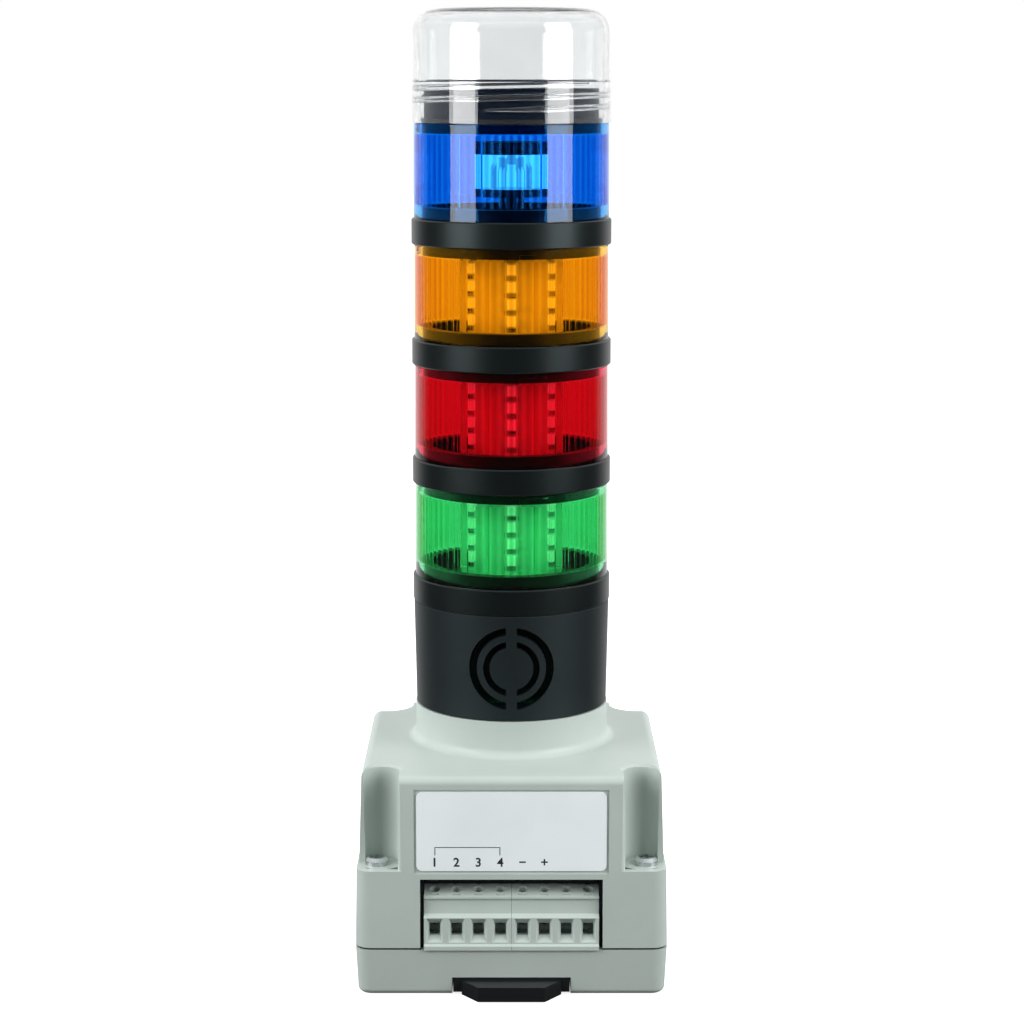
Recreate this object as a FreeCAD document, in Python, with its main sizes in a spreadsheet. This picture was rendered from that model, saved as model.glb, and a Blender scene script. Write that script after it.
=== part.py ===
import FreeCAD, Part
import math
import os
import Sketcher
from FreeCAD import Placement, Rotation, Vector

# Stack light: a tower of bayonet-coupled modules on a plug-in terminal base.
# Millimetres. +Z is up, the front is -Y, and the tower's axis is the Z axis.
# The origin lies in the bottom plane, on the centre line of the DIN rail slot.

SIZES = {
    # levels of the base above its bottom plane
    "tray_height": 16.2,
    "gasket_thickness": 0.8,
    "shoulder_height": 44.0,
    "deck_height": 77.0,
    "collar_height": 13.0,
    # outline of the base at the parting line, measured from the tower's axis
    "base_half_width": 53.5,
    "base_front": 59.2,
    "base_rear": 48.0,
    "base_corner": 5.5,
    "tray_draft": 3.0,
    "lower_draft": 1.0,
    "upper_draft": 1.74,
    "shoulder_step": 0.6,
    "housing_wall": 2.5,
    "deck_edge": 3.0,
    "tray_edge": 2.0,
    # housing screws, their front channels and rear notches, in from the base's walls
    "screw_inset": 7.1,
    "screw_front_inset": 9.4,
    "screw_rear_inset": 7.0,
    "channel_inset": 8.95,
    "channel_front_inset": 10.7,
    "channel_radius": 5.75,
    "channel_draft": 1.0,
    "channel_lip": 2.0,
    "rim_chamfer": 0.8,
    "notch_inset": 6.55,
    "notch_radius": 10.0,
    "post_wall": 1.8,
    "screw_head_radius": 4.0,
    "screw_head_rim": 1.5,
    "screw_head_crown": 1.1,
    "screw_shank_radius": 1.95,
    "screw_length": 35.0,
    "screw_clearance": 0.3,
    "pilot_clearance": 0.02,
    "cross_width": 1.1,
    "cross_length": 4.6,
    "cross_depth": 1.6,
    "boss_radius": 6.0,
    # collar and the opening for the terminals
    "collar_inset": 0.7,
    "collar_foot": 3.0,
    "deck_hole_radius": 14.1,
    "opening_half_width": 31.2,
    "opening_height": 24.2,
    "opening_depth": 7.5,
    # label recess and label
    "recess_drop": 4.4,
    "recess_depth": 0.5,
    "label_play": 0.9,
    "label_width": 64.7,
    "label_height": 27.5,
    "label_thickness": 0.4,
    "label_corner": 2.0,
    # gasket in the parting line
    "gasket_inset": 0.6,
    "gasket_width": 1.8,
    # tray, rail slot and coring
    "tray_floor": 9.0,
    "rail_half_width": 17.8,
    "rail_depth": 6.3,
    "rail_flange": 1.2,
    "hook_reach": 1.9,
    "hook_thickness": 1.2,
    "coring_depth": 6.0,
    "coring_rib": 3.0,
    # rail latch
    "latch_half_width": 20.0,
    "latch_clearance": 0.3,
    "latch_underside": 1.2,
    "latch_nose": 1.6,
    "tongue_reach": 7.0,
    "tongue_root_half": 17.1,
    "tongue_tip_half": 11.4,
    "tongue_underside": 0.3,
    "tongue_height": 5.1,
    "latch_travel": 4.5,
    "latch_rib_width": 1.5,
    "latch_rib_height": 1.4,
    "latch_rib_lift": 2.6,
    "latch_rib_front": 50.0,
    "latch_rib_rear": 22.0,
    "spring_radius": 2.2,
    "spring_bore": 1.6,
    "spring_front": 43.0,
    "spring_rear": 25.0,
    "spring_axis_height": 3.6,
    "stop_tab_thickness": 2.0,
    "stop_tab_half": 2.0,
    # base board and harness
    "board_thickness": 1.6,
    "board_half_width": 44.0,
    "board_front": 42.0,
    "board_rear": 34.0,
    "standoff_height": 3.2,
    "standoff_radius": 3.0,
    "standoff_side": 36.0,
    "standoff_front": 36.0,
    "standoff_rear": 28.0,
    "connector_width": 12.0,
    "connector_depth": 8.0,
    "connector_height": 8.0,
    "harness_radius": 3.0,
    # terminals
    "pole_pitch": 7.5,
    "plug_gap": 0.1,
    "plug_lift": 0.2,
    "plug_rear": 41.3,
    "plug_lip_reach": 0.8,
    "plug_lip_height": 1.4,
    "plug_lip_slope": 0.6,
    "plug_front_height": 11.3,
    "plug_band_inset": 2.1,
    "plug_band_foot": 12.2,
    "plug_band_top": 17.6,
    "plug_brow_inset": 1.5,
    "plug_brow_height": 18.2,
    "plug_deck_inset": 9.8,
    "plug_deck_height": 20.5,
    "plug_back_drop": 0.9,
    "plug_back_step": 0.4,
    "header_wall": 2.6,
    "header_side": 0.7,
    "header_lid": 3.3,
    "header_reach": 10.5,
    "shroud_reach": 15.2,
    "pin_width": 1.0,
    "pin_reach": 6.9,
    "pin_slot": 1.8,
    "entry_width": 3.7,
    "entry_height": 4.3,
    "entry_rise": 6.8,
    "funnel_width": 5.5,
    "funnel_height": 8.4,
    "funnel_depth": 2.0,
    "clamp_width": 5.0,
    "clamp_height": 6.0,
    "clamp_depth": 5.0,
    "clamp_wall": 0.6,
    "clamp_front": 55.4,
    "clamp_play": 0.1,
    "driver_hole_radius": 1.8,
    "clamp_screw_radius": 1.5,
    "clamp_screw_shank": 1.0,
    "clamp_screw_head": 2.0,
    "clamp_screw_rise": 10.8,
    "screwdriver_slot": 0.6,
    "test_slot_width": 2.9,
    "test_slot_depth": 0.9,
    # bayonet joint between modules
    "seat_gap": 0.1,
    "tower_wall": 3.6,
    "spigot_play": 0.3,
    "spigot_length": 3.6,
    "lug_count": 3,
    "lug_reach": 1.1,
    "lug_height": 1.2,
    "lug_drop": 2.0,
    "lug_clearance": 0.3,
    "lug_angle": 10.0,
    "lug_start": 35.0,
    "lug_play": 1.0,
    "twist_angle": 20.0,
    # sounder
    "sounder_height": 37.5,
    "sounder_foot_inset": 1.0,
    "sounder_top_inset": 0.25,
    "sounder_floor": 2.0,
    "sounder_floor_lift": 2.0,
    "spigot_wall": 3.1,
    "core_radius": 10.0,
    "core_hole_radius": 8.0,
    "grille_height": 18.8,
    "outer_slot_outside": 14.7,
    "outer_slot_inside": 12.0,
    "inner_slot_outside": 9.8,
    "inner_slot_inside": 7.6,
    "grille_spoke": 3.8,
    "disc_radius": 13.5,
    "disc_thickness": 3.0,
    "disc_setback": 8.4,
    "sounder_board_width": 40.0,
    "sounder_board_height": 27.0,
    # light modules
    "module_pitch": 42.0,
    "ring_radius": 35.0,
    "ring_height": 9.0,
    "ring_edge": 0.4,
    "neck_height": 4.0,
    "ring_neck_wall": 3.9,
    "ledge_width": 3.2,
    "ledge_height": 5.0,
    "lens_foot_inset": 0.8,
    "lens_top_inset": 1.0,
    "flute_count": 72,
    "flute_root": 0.75,
    "flute_rise": 0.4,
    "flute_foot": 13.6,
    "flute_top": 37.9,
    "disc_board_clearance": 0.3,
    "disc_board_hole": 3.0,
    # LED core
    "core_corner_radius": 18.2,
    "core_bore_radius": 12.5,
    "core_roof": 2.0,
    "core_top_drop": 4.4,
    "panel_width": 16.0,
    "panel_inset": 13.7,
    "panel_foot": 11.4,
    "panel_play": 0.1,
    "panel_head": 0.4,
    "led_width": 4.3,
    "led_height": 3.2,
    "led_thickness": 1.6,
    "led_rows": 4,
    "led_first": 15.9,
    "led_pitch": 6.0,
    "pin_count": 6,
    "contact_circle": 5.5,
    "contact_width": 1.1,
    "contact_ring_inside": 4.6,
    "contact_ring_outside": 6.6,
    "contact_ring_height": 0.5,
    # strobe of the top module
    "strobe_post_radius": 3.5,
    "strobe_plate_radius": 12.0,
    "strobe_lower_foot": 16.4,
    "strobe_lower_thickness": 2.7,
    "strobe_upper_foot": 31.0,
    "strobe_upper_thickness": 4.3,
    "strobe_cover_wall": 1.0,
    "tube_radius": 1.6,
    "tube_spread": 4.8,
    "tube_height": 11.5,
    # cap
    "thread_room": 1.3,
    "neck_ring_wall": 4.0,
    "neck_ring_height": 11.5,
    "cap_height": 39.0,
    "cap_crown": 0.4,
    "skirt_foot_inset": 0.4,
    "skirt_top_inset": 0.6,
    "skirt_height": 14.2,
    "skirt_bore_play": 0.3,
    "cap_inset": 0.95,
    "cap_corner": 7.5,
    "cap_wall": 2.2,
    "seal_play": 0.05,
    "seal_height": 1.2,
}

LIGHTS = ("green", "red", "amber")
HEXAGON = 6
POLES = 4
FULL_TURN = 360
TOUCH = 0.01
MARGIN = 1
RUN_OUT = 6


class Size:
    """A length or angle with the expression of the sheet that gives it."""

    def __init__(self, value, text):
        self.value = float(value)
        self.text = text

    def __add__(self, other):
        other = as_size(other)
        return Size(self.value + other.value, f"({self.text} + {other.text})")

    def __radd__(self, other):
        return as_size(other) + self

    def __sub__(self, other):
        other = as_size(other)
        return Size(self.value - other.value, f"({self.text} - {other.text})")

    def __rsub__(self, other):
        return as_size(other) - self

    def __mul__(self, other):
        other = as_size(other)
        return Size(self.value * other.value, f"({self.text} * {other.text})")

    def __rmul__(self, other):
        return as_size(other) * self

    def __truediv__(self, other):
        other = as_size(other)
        return Size(self.value / other.value, f"({self.text} / {other.text})")

    def __neg__(self):
        return 0 - self


def as_size(number):
    """A plain number as a Size."""
    if isinstance(number, Size):
        return number
    return Size(number, f"({float(number):.6f})")


def tangent(angle):
    """Tangent of an angle in degrees."""
    return Size(math.tan(math.radians(angle.value)), f"tan({angle.text})")


class Sheet:
    """The driving sizes as attributes, each bound to its cell."""

    def __init__(self, doc):
        self.cells = doc.addObject("Spreadsheet::Sheet", "Sizes")
        for row, (alias, value) in enumerate(SIZES.items(), start=1):
            self.cells.set(f"A{row}", alias.replace("_", " "))
            self.cells.set(f"B{row}", str(value))
            self.cells.setAlias(f"B{row}", alias)
            setattr(self, alias, Size(value, f"Sizes.{alias}"))


doc = FreeCAD.newDocument("StackLight")
s = Sheet(doc)
doc.recompute()
nodes = []


# ---------------------------------------------------------------- helpers

def bind(obj, **sizes):
    """Set properties to sizes of the sheet."""
    for name, size in sizes.items():
        size = as_size(size)
        setattr(obj, name, size.value)
        obj.setExpression(name, size.text)


def place(obj, x=0, y=0, z=0, turn=None):
    """Put an object at bound coordinates, turned by (axis, angle) if given."""
    spot = [as_size(value) for value in (x, y, z)]
    rotation = Rotation()
    if turn:
        axis, angle = turn
        angle = as_size(angle)
        rotation = Rotation(Vector(*axis), angle.value)
    obj.Placement = Placement(Vector(*[size.value for size in spot]), rotation)
    for letter, size in zip("xyz", spot):
        obj.setExpression(f"Placement.Base.{letter}", size.text)
    if turn:
        obj.setExpression("Placement.Rotation.Angle", angle.text)
    return obj


def box(name, x, y, z, turn=None):
    """A box from pairs of bound coordinates (low, high)."""
    obj = doc.addObject("Part::Box", name)
    bind(obj, Length=x[1] - as_size(x[0]), Width=y[1] - as_size(y[0]), Height=z[1] - as_size(z[0]))
    return place(obj, x[0], y[0], z[0], turn)


def cylinder(name, radius, low, high, x=0, y=0, span=None, start=0):
    """An upright cylinder, or a sector of span degrees that begins at start."""
    obj = doc.addObject("Part::Cylinder", name)
    bind(obj, Radius=radius, Height=high - as_size(low))
    if span is None:
        return place(obj, x, y, low)
    bind(obj, Angle=span)
    return place(obj, x, y, low, ((0, 0, 1), start))


def cross_cylinder(name, radius, front, rear, x, z):
    """A cylinder along Y from front to rear."""
    obj = doc.addObject("Part::Cylinder", name)
    bind(obj, Radius=radius, Height=rear - as_size(front))
    return place(obj, x, front, z, ((-1, 0, 0), 90))


def fuse(name, shapes):
    """One solid from several that overlap or touch."""
    obj = doc.addObject("Part::MultiFuse", name)
    obj.Shapes = list(shapes)
    return obj


def cut(name, base, tools):
    """The base less every tool."""
    obj = doc.addObject("Part::Cut", name)
    obj.Base = base
    obj.Tool = tools[0] if len(tools) == 1 else fuse(name + "_tools", tools)
    return obj


def group(name, shapes):
    """Separate solids in one object."""
    obj = doc.addObject("Part::Compound", name)
    obj.Links = list(shapes)
    return obj


def node(obj, label):
    """Register an object as a sub-part under its label."""
    obj.Label = label
    nodes.append(obj)
    return obj


def new_body(name, z=0):
    """An empty body at a bound height."""
    body = doc.addObject("PartDesign::Body", name)
    return place(body, 0, 0, z)


def new_sketch(body, name, role, offset=0):
    """A sketch on one of the body's origin planes, moved along its normal."""
    sketch = body.newObject("Sketcher::SketchObject", name)
    plane = [item for item in body.Origin.OriginFeatures if item.Role == role][0]
    sketch.AttachmentSupport = [(plane, "")]
    sketch.MapMode = "FlatFace"
    offset = as_size(offset)
    sketch.AttachmentOffset = Placement(Vector(0, 0, offset.value), Rotation())
    sketch.setExpression("AttachmentOffset.Base.z", offset.text)
    return sketch


def constrain(sketch, kind, *parts, size):
    """A dimension of a sketch, bound to a size."""
    size = as_size(size)
    index = sketch.addConstraint(Sketcher.Constraint(kind, *parts, size.value))
    sketch.setExpression(f"Constraints[{index}]", size.text)


def arc_between(start, end, radius, turn):
    """The arc from start to end, turning left (1) or right (-1)."""
    chord = end - start
    half = chord.Length / 2
    rise = math.sqrt(max(radius * radius - half * half, 0))
    normal = Vector(-chord.y, chord.x, 0).normalize()
    centre = (start + end) / 2 + normal * rise * turn
    first, last = (start, end) if turn > 0 else (end, start)
    angles = [math.atan2(point.y - centre.y, point.x - centre.x) for point in (first, last)]
    if angles[1] < angles[0]:
        angles[1] += 2 * math.pi
    circle = Part.Circle(centre, Vector(0, 0, 1), radius)
    return Part.ArcOfCircle(circle, angles[0], angles[1])


def outline(sketch, points):
    """A closed outline. A point is (x, y) or (x, y, radius, turn) where an arc leaves it."""
    corners = [Vector(as_size(point[0]).value, as_size(point[1]).value, 0) for point in points]
    ends = []
    for index, point in enumerate(points):
        start, end = corners[index], corners[(index + 1) % len(points)]
        if len(point) == 2:
            sketch.addGeometry(Part.LineSegment(start, end), False)
            ends.append((1, 2))
            continue
        radius, turn = as_size(point[2]), point[3]
        sketch.addGeometry(arc_between(start, end, radius.value, turn), False)
        ends.append((1, 2) if turn > 0 else (2, 1))
    for index in range(len(points)):
        following = (index + 1) % len(points)
        sketch.addConstraint(
            Sketcher.Constraint("Coincident", index, ends[index][1], following, ends[following][0])
        )
    for index, point in enumerate(points):
        constrain(sketch, "DistanceX", index, ends[index][0], size=point[0])
        constrain(sketch, "DistanceY", index, ends[index][0], size=point[1])
        if len(point) > 2:
            constrain(sketch, "Radius", index, size=point[2])
    return sketch


def rounded_rectangle(sketch, low, high, radius):
    """A closed rectangle with round corners between two corner points."""
    x0, y0 = low
    x1, y1 = high
    points = [
        (x0 + radius, y0), (x1 - radius, y0, radius, 1),
        (x1, y0 + radius), (x1, y1 - radius, radius, 1),
        (x1 - radius, y1), (x0 + radius, y1, radius, 1),
        (x0, y1 - radius), (x0, y0 + radius, radius, 1),
    ]
    return outline(sketch, points)


def pad(body, name, sketch, length, taper=0, backwards=False):
    """A pad of a sketch, with an optional draft."""
    obj = body.newObject("PartDesign::Pad", name)
    obj.Profile = sketch
    bind(obj, Length=length)
    if taper:
        bind(obj, TaperAngle=taper)
    obj.Reversed = backwards
    return obj


def revolved(name, points, z=0):
    """A body turned about the Z axis from a closed half section of (radius, height)."""
    body = new_body(name, z)
    sketch = outline(new_sketch(body, name + "_section", "XZ_Plane"), points)
    turn = body.newObject("PartDesign::Revolution", name + "_turn")
    turn.Profile = sketch
    turn.ReferenceAxis = (sketch, ["V_Axis"])
    turn.Angle = FULL_TURN
    return body


def extruded(name, points, low, high):
    """A body with a (y, z) outline, extruded along X from low to high."""
    body = new_body(name)
    sketch = outline(new_sketch(body, name + "_profile", "YZ_Plane", low), points)
    pad(body, name + "_pad", sketch, high - as_size(low))
    return body


def edges_where(shape, test):
    """Names of the edges whose middle point passes a test."""
    found = []
    for index, edge in enumerate(shape.Edges, start=1):
        middle = edge.valueAt((edge.FirstParameter + edge.LastParameter) / 2)
        if test(edge, middle):
            found.append(f"Edge{index}")
    return found


def fillet(body, name, base, radius, test):
    """A fillet on the edges of a feature that pass a test."""
    doc.recompute()
    obj = body.newObject("PartDesign::Fillet", name)
    obj.Base = (base, edges_where(base.Shape, test))
    bind(obj, Radius=radius)
    return obj


def ordered(first, second):
    """A pair of coordinates with the lower one first."""
    first, second = as_size(first), as_size(second)
    return (first, second) if first.value < second.value else (second, first)


def over(size, extra=MARGIN):
    """A cutting tool's end, run out past a face by a plain margin."""
    return size + extra


# ------------------------------------------------------- shared dimensions

parting = s.tray_height + s.gasket_thickness
upper_front = s.base_front - (s.shoulder_height - parting) * tangent(s.lower_draft)
upper_rear = s.base_rear - (s.shoulder_height - parting) * tangent(s.lower_draft)
lower_half = s.base_half_width - (s.shoulder_height - parting) * tangent(s.lower_draft)
upper_half = lower_half - s.shoulder_step
screw_side = s.base_half_width - s.screw_inset
screw_front = s.base_front - s.screw_front_inset
screw_rear = s.base_rear - s.screw_rear_inset
channel_side = s.base_half_width - s.channel_inset
channel_front = s.base_front - s.channel_front_inset
notch_side = s.base_half_width - s.notch_inset
screw_spots = [(side * screw_side, y) for y in (-screw_front, screw_rear) for side in (-1, 1)]
opening_top = parting + s.opening_height
recess_height = s.label_height + 2 * s.label_play
recess_foot = s.deck_height - s.recess_drop - recess_height

plug_foot = s.tray_height + s.plug_lift
plug_width = s.pole_pitch * POLES - s.plug_gap
entry_level = plug_foot + s.entry_rise

sounder_level = s.deck_height + s.collar_height
first_light = sounder_level + s.sounder_height
light_levels = [first_light + index * s.module_pitch for index in range(len(LIGHTS) + 1)]
blue_level = light_levels[-1]
cap_level = blue_level + s.module_pitch

collar_radius = s.ring_radius - s.collar_inset
socket_radius = s.ring_radius - s.tower_wall
spigot_radius = socket_radius - s.spigot_play
lug_radius = spigot_radius + s.lug_reach
lug_turn = as_size(FULL_TURN) / s.lug_count
sounder_foot_radius = s.ring_radius - s.sounder_foot_inset
disc_front = sounder_foot_radius - s.disc_setback
ring_bore = spigot_radius - s.ring_neck_wall
ledge_bore = ring_bore - s.ledge_width
cap_bore = socket_radius + s.skirt_bore_play
neck_ring_radius = cap_bore - s.thread_room
neck_ring_bore = neck_ring_radius - s.neck_ring_wall


# -------------------------------------------------------- bayonet coupling

def bayonet_tools(name, level):
    """Cutters of the socket below a level: three grooves with their entries."""
    top = level - s.lug_drop + s.lug_clearance
    low = level - s.lug_drop - s.lug_height - s.lug_clearance
    tools = []
    for index in range(int(s.lug_count.value)):
        start = s.lug_start + index * lug_turn - s.lug_play
        groove = s.lug_angle + s.twist_angle + 2 * s.lug_play
        entry = s.lug_angle + 2 * s.lug_play
        reach = lug_radius + s.lug_clearance
        tools.append(cylinder(f"{name}_groove{index}", reach, low, top, span=groove, start=start))
        tools.append(
            cylinder(f"{name}_entry{index}", reach, low, over(level), span=entry, start=start + s.twist_angle)
        )
    return tools


def with_lugs(name, body, level, bore):
    """A body with three lugs on the spigot below a level, kept clear of its bore."""
    top = level - s.lug_drop
    low = top - s.lug_height
    lugs = []
    for index in range(int(s.lug_count.value)):
        start = s.lug_start + index * lug_turn
        lugs.append(cylinder(f"{name}_lug{index}", lug_radius, low, top, span=s.lug_angle, start=start))
    solid = fuse(name + "_with_lugs", [body] + lugs)
    return cut(name, solid, [cylinder(name + "_bore", bore, level - s.spigot_length, level)])


# -------------------------------------------------------------------- base

def upper_housing():
    """Drafted housing with the collar, screw channels, terminal opening and label recess."""
    body = new_body("housing_blank")
    sketch = new_sketch(body, "lower_outline", "XY_Plane", parting)
    rounded_rectangle(
        sketch, (-s.base_half_width, -s.base_front), (s.base_half_width, s.base_rear), s.base_corner
    )
    pad(body, "lower_walls", sketch, s.shoulder_height - parting, -s.lower_draft)
    sketch = new_sketch(body, "upper_outline", "XY_Plane", s.shoulder_height)
    rounded_rectangle(sketch, (-upper_half, -upper_front), (upper_half, upper_rear), s.base_corner)
    walls = pad(body, "upper_walls", sketch, s.deck_height - s.shoulder_height, -s.upper_draft)
    deck = s.deck_height.value
    edge = fillet(body, "deck_edges", walls, s.deck_edge, lambda _, spot: abs(spot.z - deck) < TOUCH)
    sketch = new_sketch(body, "collar_outline", "XY_Plane", s.deck_height)
    sketch.addGeometry(Part.Circle(Vector(0, 0, 0), Vector(0, 0, 1), collar_radius.value), False)
    sketch.addConstraint(Sketcher.Constraint("Coincident", 0, 3, -1, 1))
    constrain(sketch, "Radius", 0, size=collar_radius)
    collar = pad(body, "collar", sketch, s.collar_height - s.seat_gap)

    def collar_foot(edge, spot):
        return abs(spot.z - deck) < TOUCH and abs(math.hypot(spot.x, spot.y) - collar_radius.value) < TOUCH

    fillet(body, "collar_root", collar, s.collar_foot, collar_foot)

    cavity = new_body("housing_cavity")
    sketch = new_sketch(cavity, "cavity_outline", "XY_Plane", parting)
    wall = s.housing_wall
    rounded_rectangle(
        sketch,
        (wall - s.base_half_width, wall - s.base_front),
        (s.base_half_width - wall, s.base_rear - wall),
        s.base_corner - wall,
    )
    pad(cavity, "cavity_space", sketch, s.deck_height - wall - parting, -s.upper_draft)
    posts = []
    for side in (-1, 1):
        posts.append(cylinder("channel_post", s.channel_radius + s.post_wall, parting, s.deck_height,
                              side * channel_side, -channel_front))
        posts.append(cylinder("notch_post", s.notch_radius + s.post_wall, parting, s.deck_height,
                              side * notch_side, screw_rear))
    tools = [cut("housing_hollow", cavity, posts)]
    for index, (x, y) in enumerate(screw_spots):
        tools.append(cylinder(f"clearance{index}", s.screw_shank_radius + s.screw_clearance,
                              parting - MARGIN, over(s.shoulder_height), x, y))
    for word, side in (("left", -1), ("right", 1)):
        tools += screw_channel(word, side)
        tools += rear_notch(word, side)
    tools += [
        cylinder("collar_bore", socket_radius, s.deck_height + s.housing_wall, over(sounder_level)),
        cylinder("deck_hole", s.deck_hole_radius, socket_underside(), sounder_level),
        box("terminal_opening", (-s.opening_half_width, s.opening_half_width),
            (-over(s.base_front), s.opening_depth - s.base_front), (parting - MARGIN, opening_top)),
        label_recess(),
    ]
    tools += bayonet_tools("collar", sounder_level)
    node(cut("housing", body, tools), "upper_housing")


def screw_channel(word, side):
    """Cutters of a drafted front channel, open to the front and its corner, and of its rim's chamfer."""
    body = new_body(f"channel_{word}")
    sketch = new_sketch(body, f"channel_outline_{word}", "XY_Plane", s.shoulder_height)
    channel_outline(sketch, side)
    pad(body, f"channel_space_{word}", sketch, over(s.deck_height) - s.shoulder_height, s.channel_draft)
    rise = s.deck_height - s.rim_chamfer - s.shoulder_height
    radius = s.channel_radius + rise * tangent(s.channel_draft)
    cone = doc.addObject("Part::Cone", f"channel_rim_{word}")
    bind(cone, Radius1=radius - MARGIN, Radius2=radius + s.rim_chamfer + MARGIN,
         Height=s.rim_chamfer + 2 * MARGIN)
    return [body, place(cone, side * channel_side, -channel_front, s.shoulder_height + rise - MARGIN)]


def channel_outline(sketch, side):
    """Outline of a channel: round behind, straight inside with a lip at the front, cut off at its corner."""
    radius, lip = s.channel_radius, s.channel_lip
    inner, outer = channel_side - radius, s.base_half_width + RUN_OUT
    mouth = -upper_front - s.seat_gap
    return outline(sketch, [
        (side * (inner - lip), mouth), (side * (inner - lip), -s.base_front - RUN_OUT),
        (side * outer, -s.base_front - RUN_OUT), (side * outer, -channel_front),
        (side * (channel_side + radius), -channel_front, radius, side),
        (side * channel_side, radius - channel_front, radius, side),
        (side * inner, -channel_front), (side * inner, mouth + lip, lip, -side),
    ])


def rear_notch(word, side):
    """Cutters of a rear corner notch that is open to the side and the back."""
    centre, y = side * notch_side, screw_rear
    out = 2 * s.notch_radius
    levels = (s.shoulder_height, over(s.deck_height))
    return [
        cylinder(f"notch_{word}", s.notch_radius, *levels, centre, y),
        box(f"notch_side_{word}", ordered(centre, centre + side * out),
            (y - s.notch_radius, y + out), levels),
        box(f"notch_back_{word}", ordered(centre - side * s.notch_radius, centre + side * out),
            (y, y + out), levels),
    ]


def front_wall_y(height):
    """The drafted front wall's place at a height above the shoulder."""
    return (height - s.shoulder_height) * tangent(s.upper_draft) - upper_front


def label_recess():
    """Shallow recess that lies in the drafted front wall."""
    tool = doc.addObject("Part::Box", "label_recess")
    half = s.label_width / 2 + s.label_play
    bind(tool, Length=2 * half, Width=RUN_OUT, Height=recess_height)
    floor = front_wall_y(recess_foot) + s.recess_depth
    return place(tool, -half, floor - RUN_OUT, recess_foot, ((-1, 0, 0), s.upper_draft))


def label_plate():
    """Flat plate with round corners that lies on the recess floor."""
    body = doc.addObject("PartDesign::Body", "label")
    sketch = new_sketch(body, "label_outline", "XZ_Plane")
    half = s.label_width / 2
    rounded_rectangle(
        sketch, (-half, s.label_play), (half, s.label_play + s.label_height), s.label_corner
    )
    pad(body, "label_sheet", sketch, s.label_thickness)
    floor = front_wall_y(recess_foot) + s.recess_depth
    place(body, 0, floor, recess_foot, ((-1, 0, 0), s.upper_draft))
    node(body, "label_plate")


def housing_screws():
    """Four pan-head screws with a cross recess, from the shoulder into the tray's bosses."""
    screws = []
    for index, (x, y) in enumerate(screw_spots):
        foot = s.shoulder_height
        head = cylinder(f"screw_rim{index}", s.screw_head_radius, foot, foot + s.screw_head_rim, x, y)
        crown = doc.addObject("Part::Cone", f"screw_crown{index}")
        bind(crown, Radius1=s.screw_head_radius, Radius2=s.screw_head_radius - s.screw_head_crown,
             Height=s.screw_head_crown)
        place(crown, x, y, foot + s.screw_head_rim)
        shank = cylinder(f"screw_shank{index}", s.screw_shank_radius, foot - s.screw_length, foot, x, y)
        top = foot + s.screw_head_rim + s.screw_head_crown
        recess = []
        long, wide = s.cross_length, s.cross_width
        for name, length, width in (("a", long, wide), ("b", wide, long)):
            recess.append(box(f"screw_cross{index}{name}", (x - length / 2, x + length / 2),
                              (y - width / 2, y + width / 2), (top - s.cross_depth, over(top))))
        screws.append(cut(f"screw{index}", fuse(f"screw_blank{index}", [head, crown, shank]), recess))
    node(group("screws", screws), "housing_screws")


def housing_gasket():
    """Flat seal in the parting line, interrupted at the terminals."""
    low, high = s.tray_height, parting
    rings = []
    inner = s.gasket_inset + s.gasket_width
    for name, inset in (("gasket_outside", s.gasket_inset), ("gasket_inside", inner)):
        body = new_body(name)
        sketch = new_sketch(body, name + "_outline", "XY_Plane", low)
        rounded_rectangle(
            sketch,
            (inset - s.base_half_width, inset - s.base_front),
            (s.base_half_width - inset, s.base_rear - inset),
            s.base_corner - inset,
        )
        pad(body, name + "_pad", sketch, high - low)
        rings.append(body)
    gap = box("gasket_break", (-s.opening_half_width, s.opening_half_width),
              (-s.base_front, s.opening_depth - s.base_front), (low - MARGIN, over(high)))
    node(cut("gasket", rings[0], [rings[1], gap]), "housing_gasket")


def lower_tray():
    """Drafted tray with the rail slot, latch guide, screw bosses and cored underside."""
    body = new_body("tray_blank")
    sketch = new_sketch(body, "tray_outline", "XY_Plane", s.tray_height)
    rounded_rectangle(
        sketch, (-s.base_half_width, -s.base_front), (s.base_half_width, s.base_rear), s.base_corner
    )
    walls = pad(body, "tray_walls", sketch, s.tray_height, -s.tray_draft, backwards=True)
    fillet(body, "tray_edges", walls, s.tray_edge, lambda _, spot: abs(spot.z) < TOUCH)

    well = new_body("tray_well")
    sketch = new_sketch(well, "well_outline", "XY_Plane", s.tray_floor)
    wall = s.housing_wall + s.tray_height * tangent(s.tray_draft)
    rounded_rectangle(
        sketch,
        (wall - s.base_half_width, wall - s.base_front),
        (s.base_half_width - wall, s.base_rear - wall),
        s.base_corner - s.housing_wall,
    )
    pad(well, "well_space", sketch, s.tray_height - s.tray_floor)
    bosses = [
        cylinder(f"boss{index}", s.boss_radius, s.tray_floor, s.tray_height, x, y)
        for index, (x, y) in enumerate(screw_spots)
    ]
    bosses += [
        cylinder(f"standoff{index}", s.standoff_radius, s.tray_floor, s.tray_floor + s.standoff_height, x, y)
        for index, (x, y) in enumerate(standoff_spots())
    ]
    tools = [cut("tray_hollow", well, bosses), rail_slot(), latch_guide()]
    tools += coring()
    tools += [
        cylinder(f"pilot{index}", s.screw_shank_radius + s.pilot_clearance,
                 s.shoulder_height - s.screw_length - MARGIN, over(s.tray_height), x, y)
        for index, (x, y) in enumerate(screw_spots)
    ]
    tray = cut("tray_shell", body, tools)
    half = s.stop_tab_half
    tab = box("stop_tab", (-half, half), (-s.spring_front - s.stop_tab_thickness, -s.spring_front),
              (s.latch_underside + s.latch_clearance, s.rail_depth))
    node(fuse("tray", [tray, tab]), "lower_tray")


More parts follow.
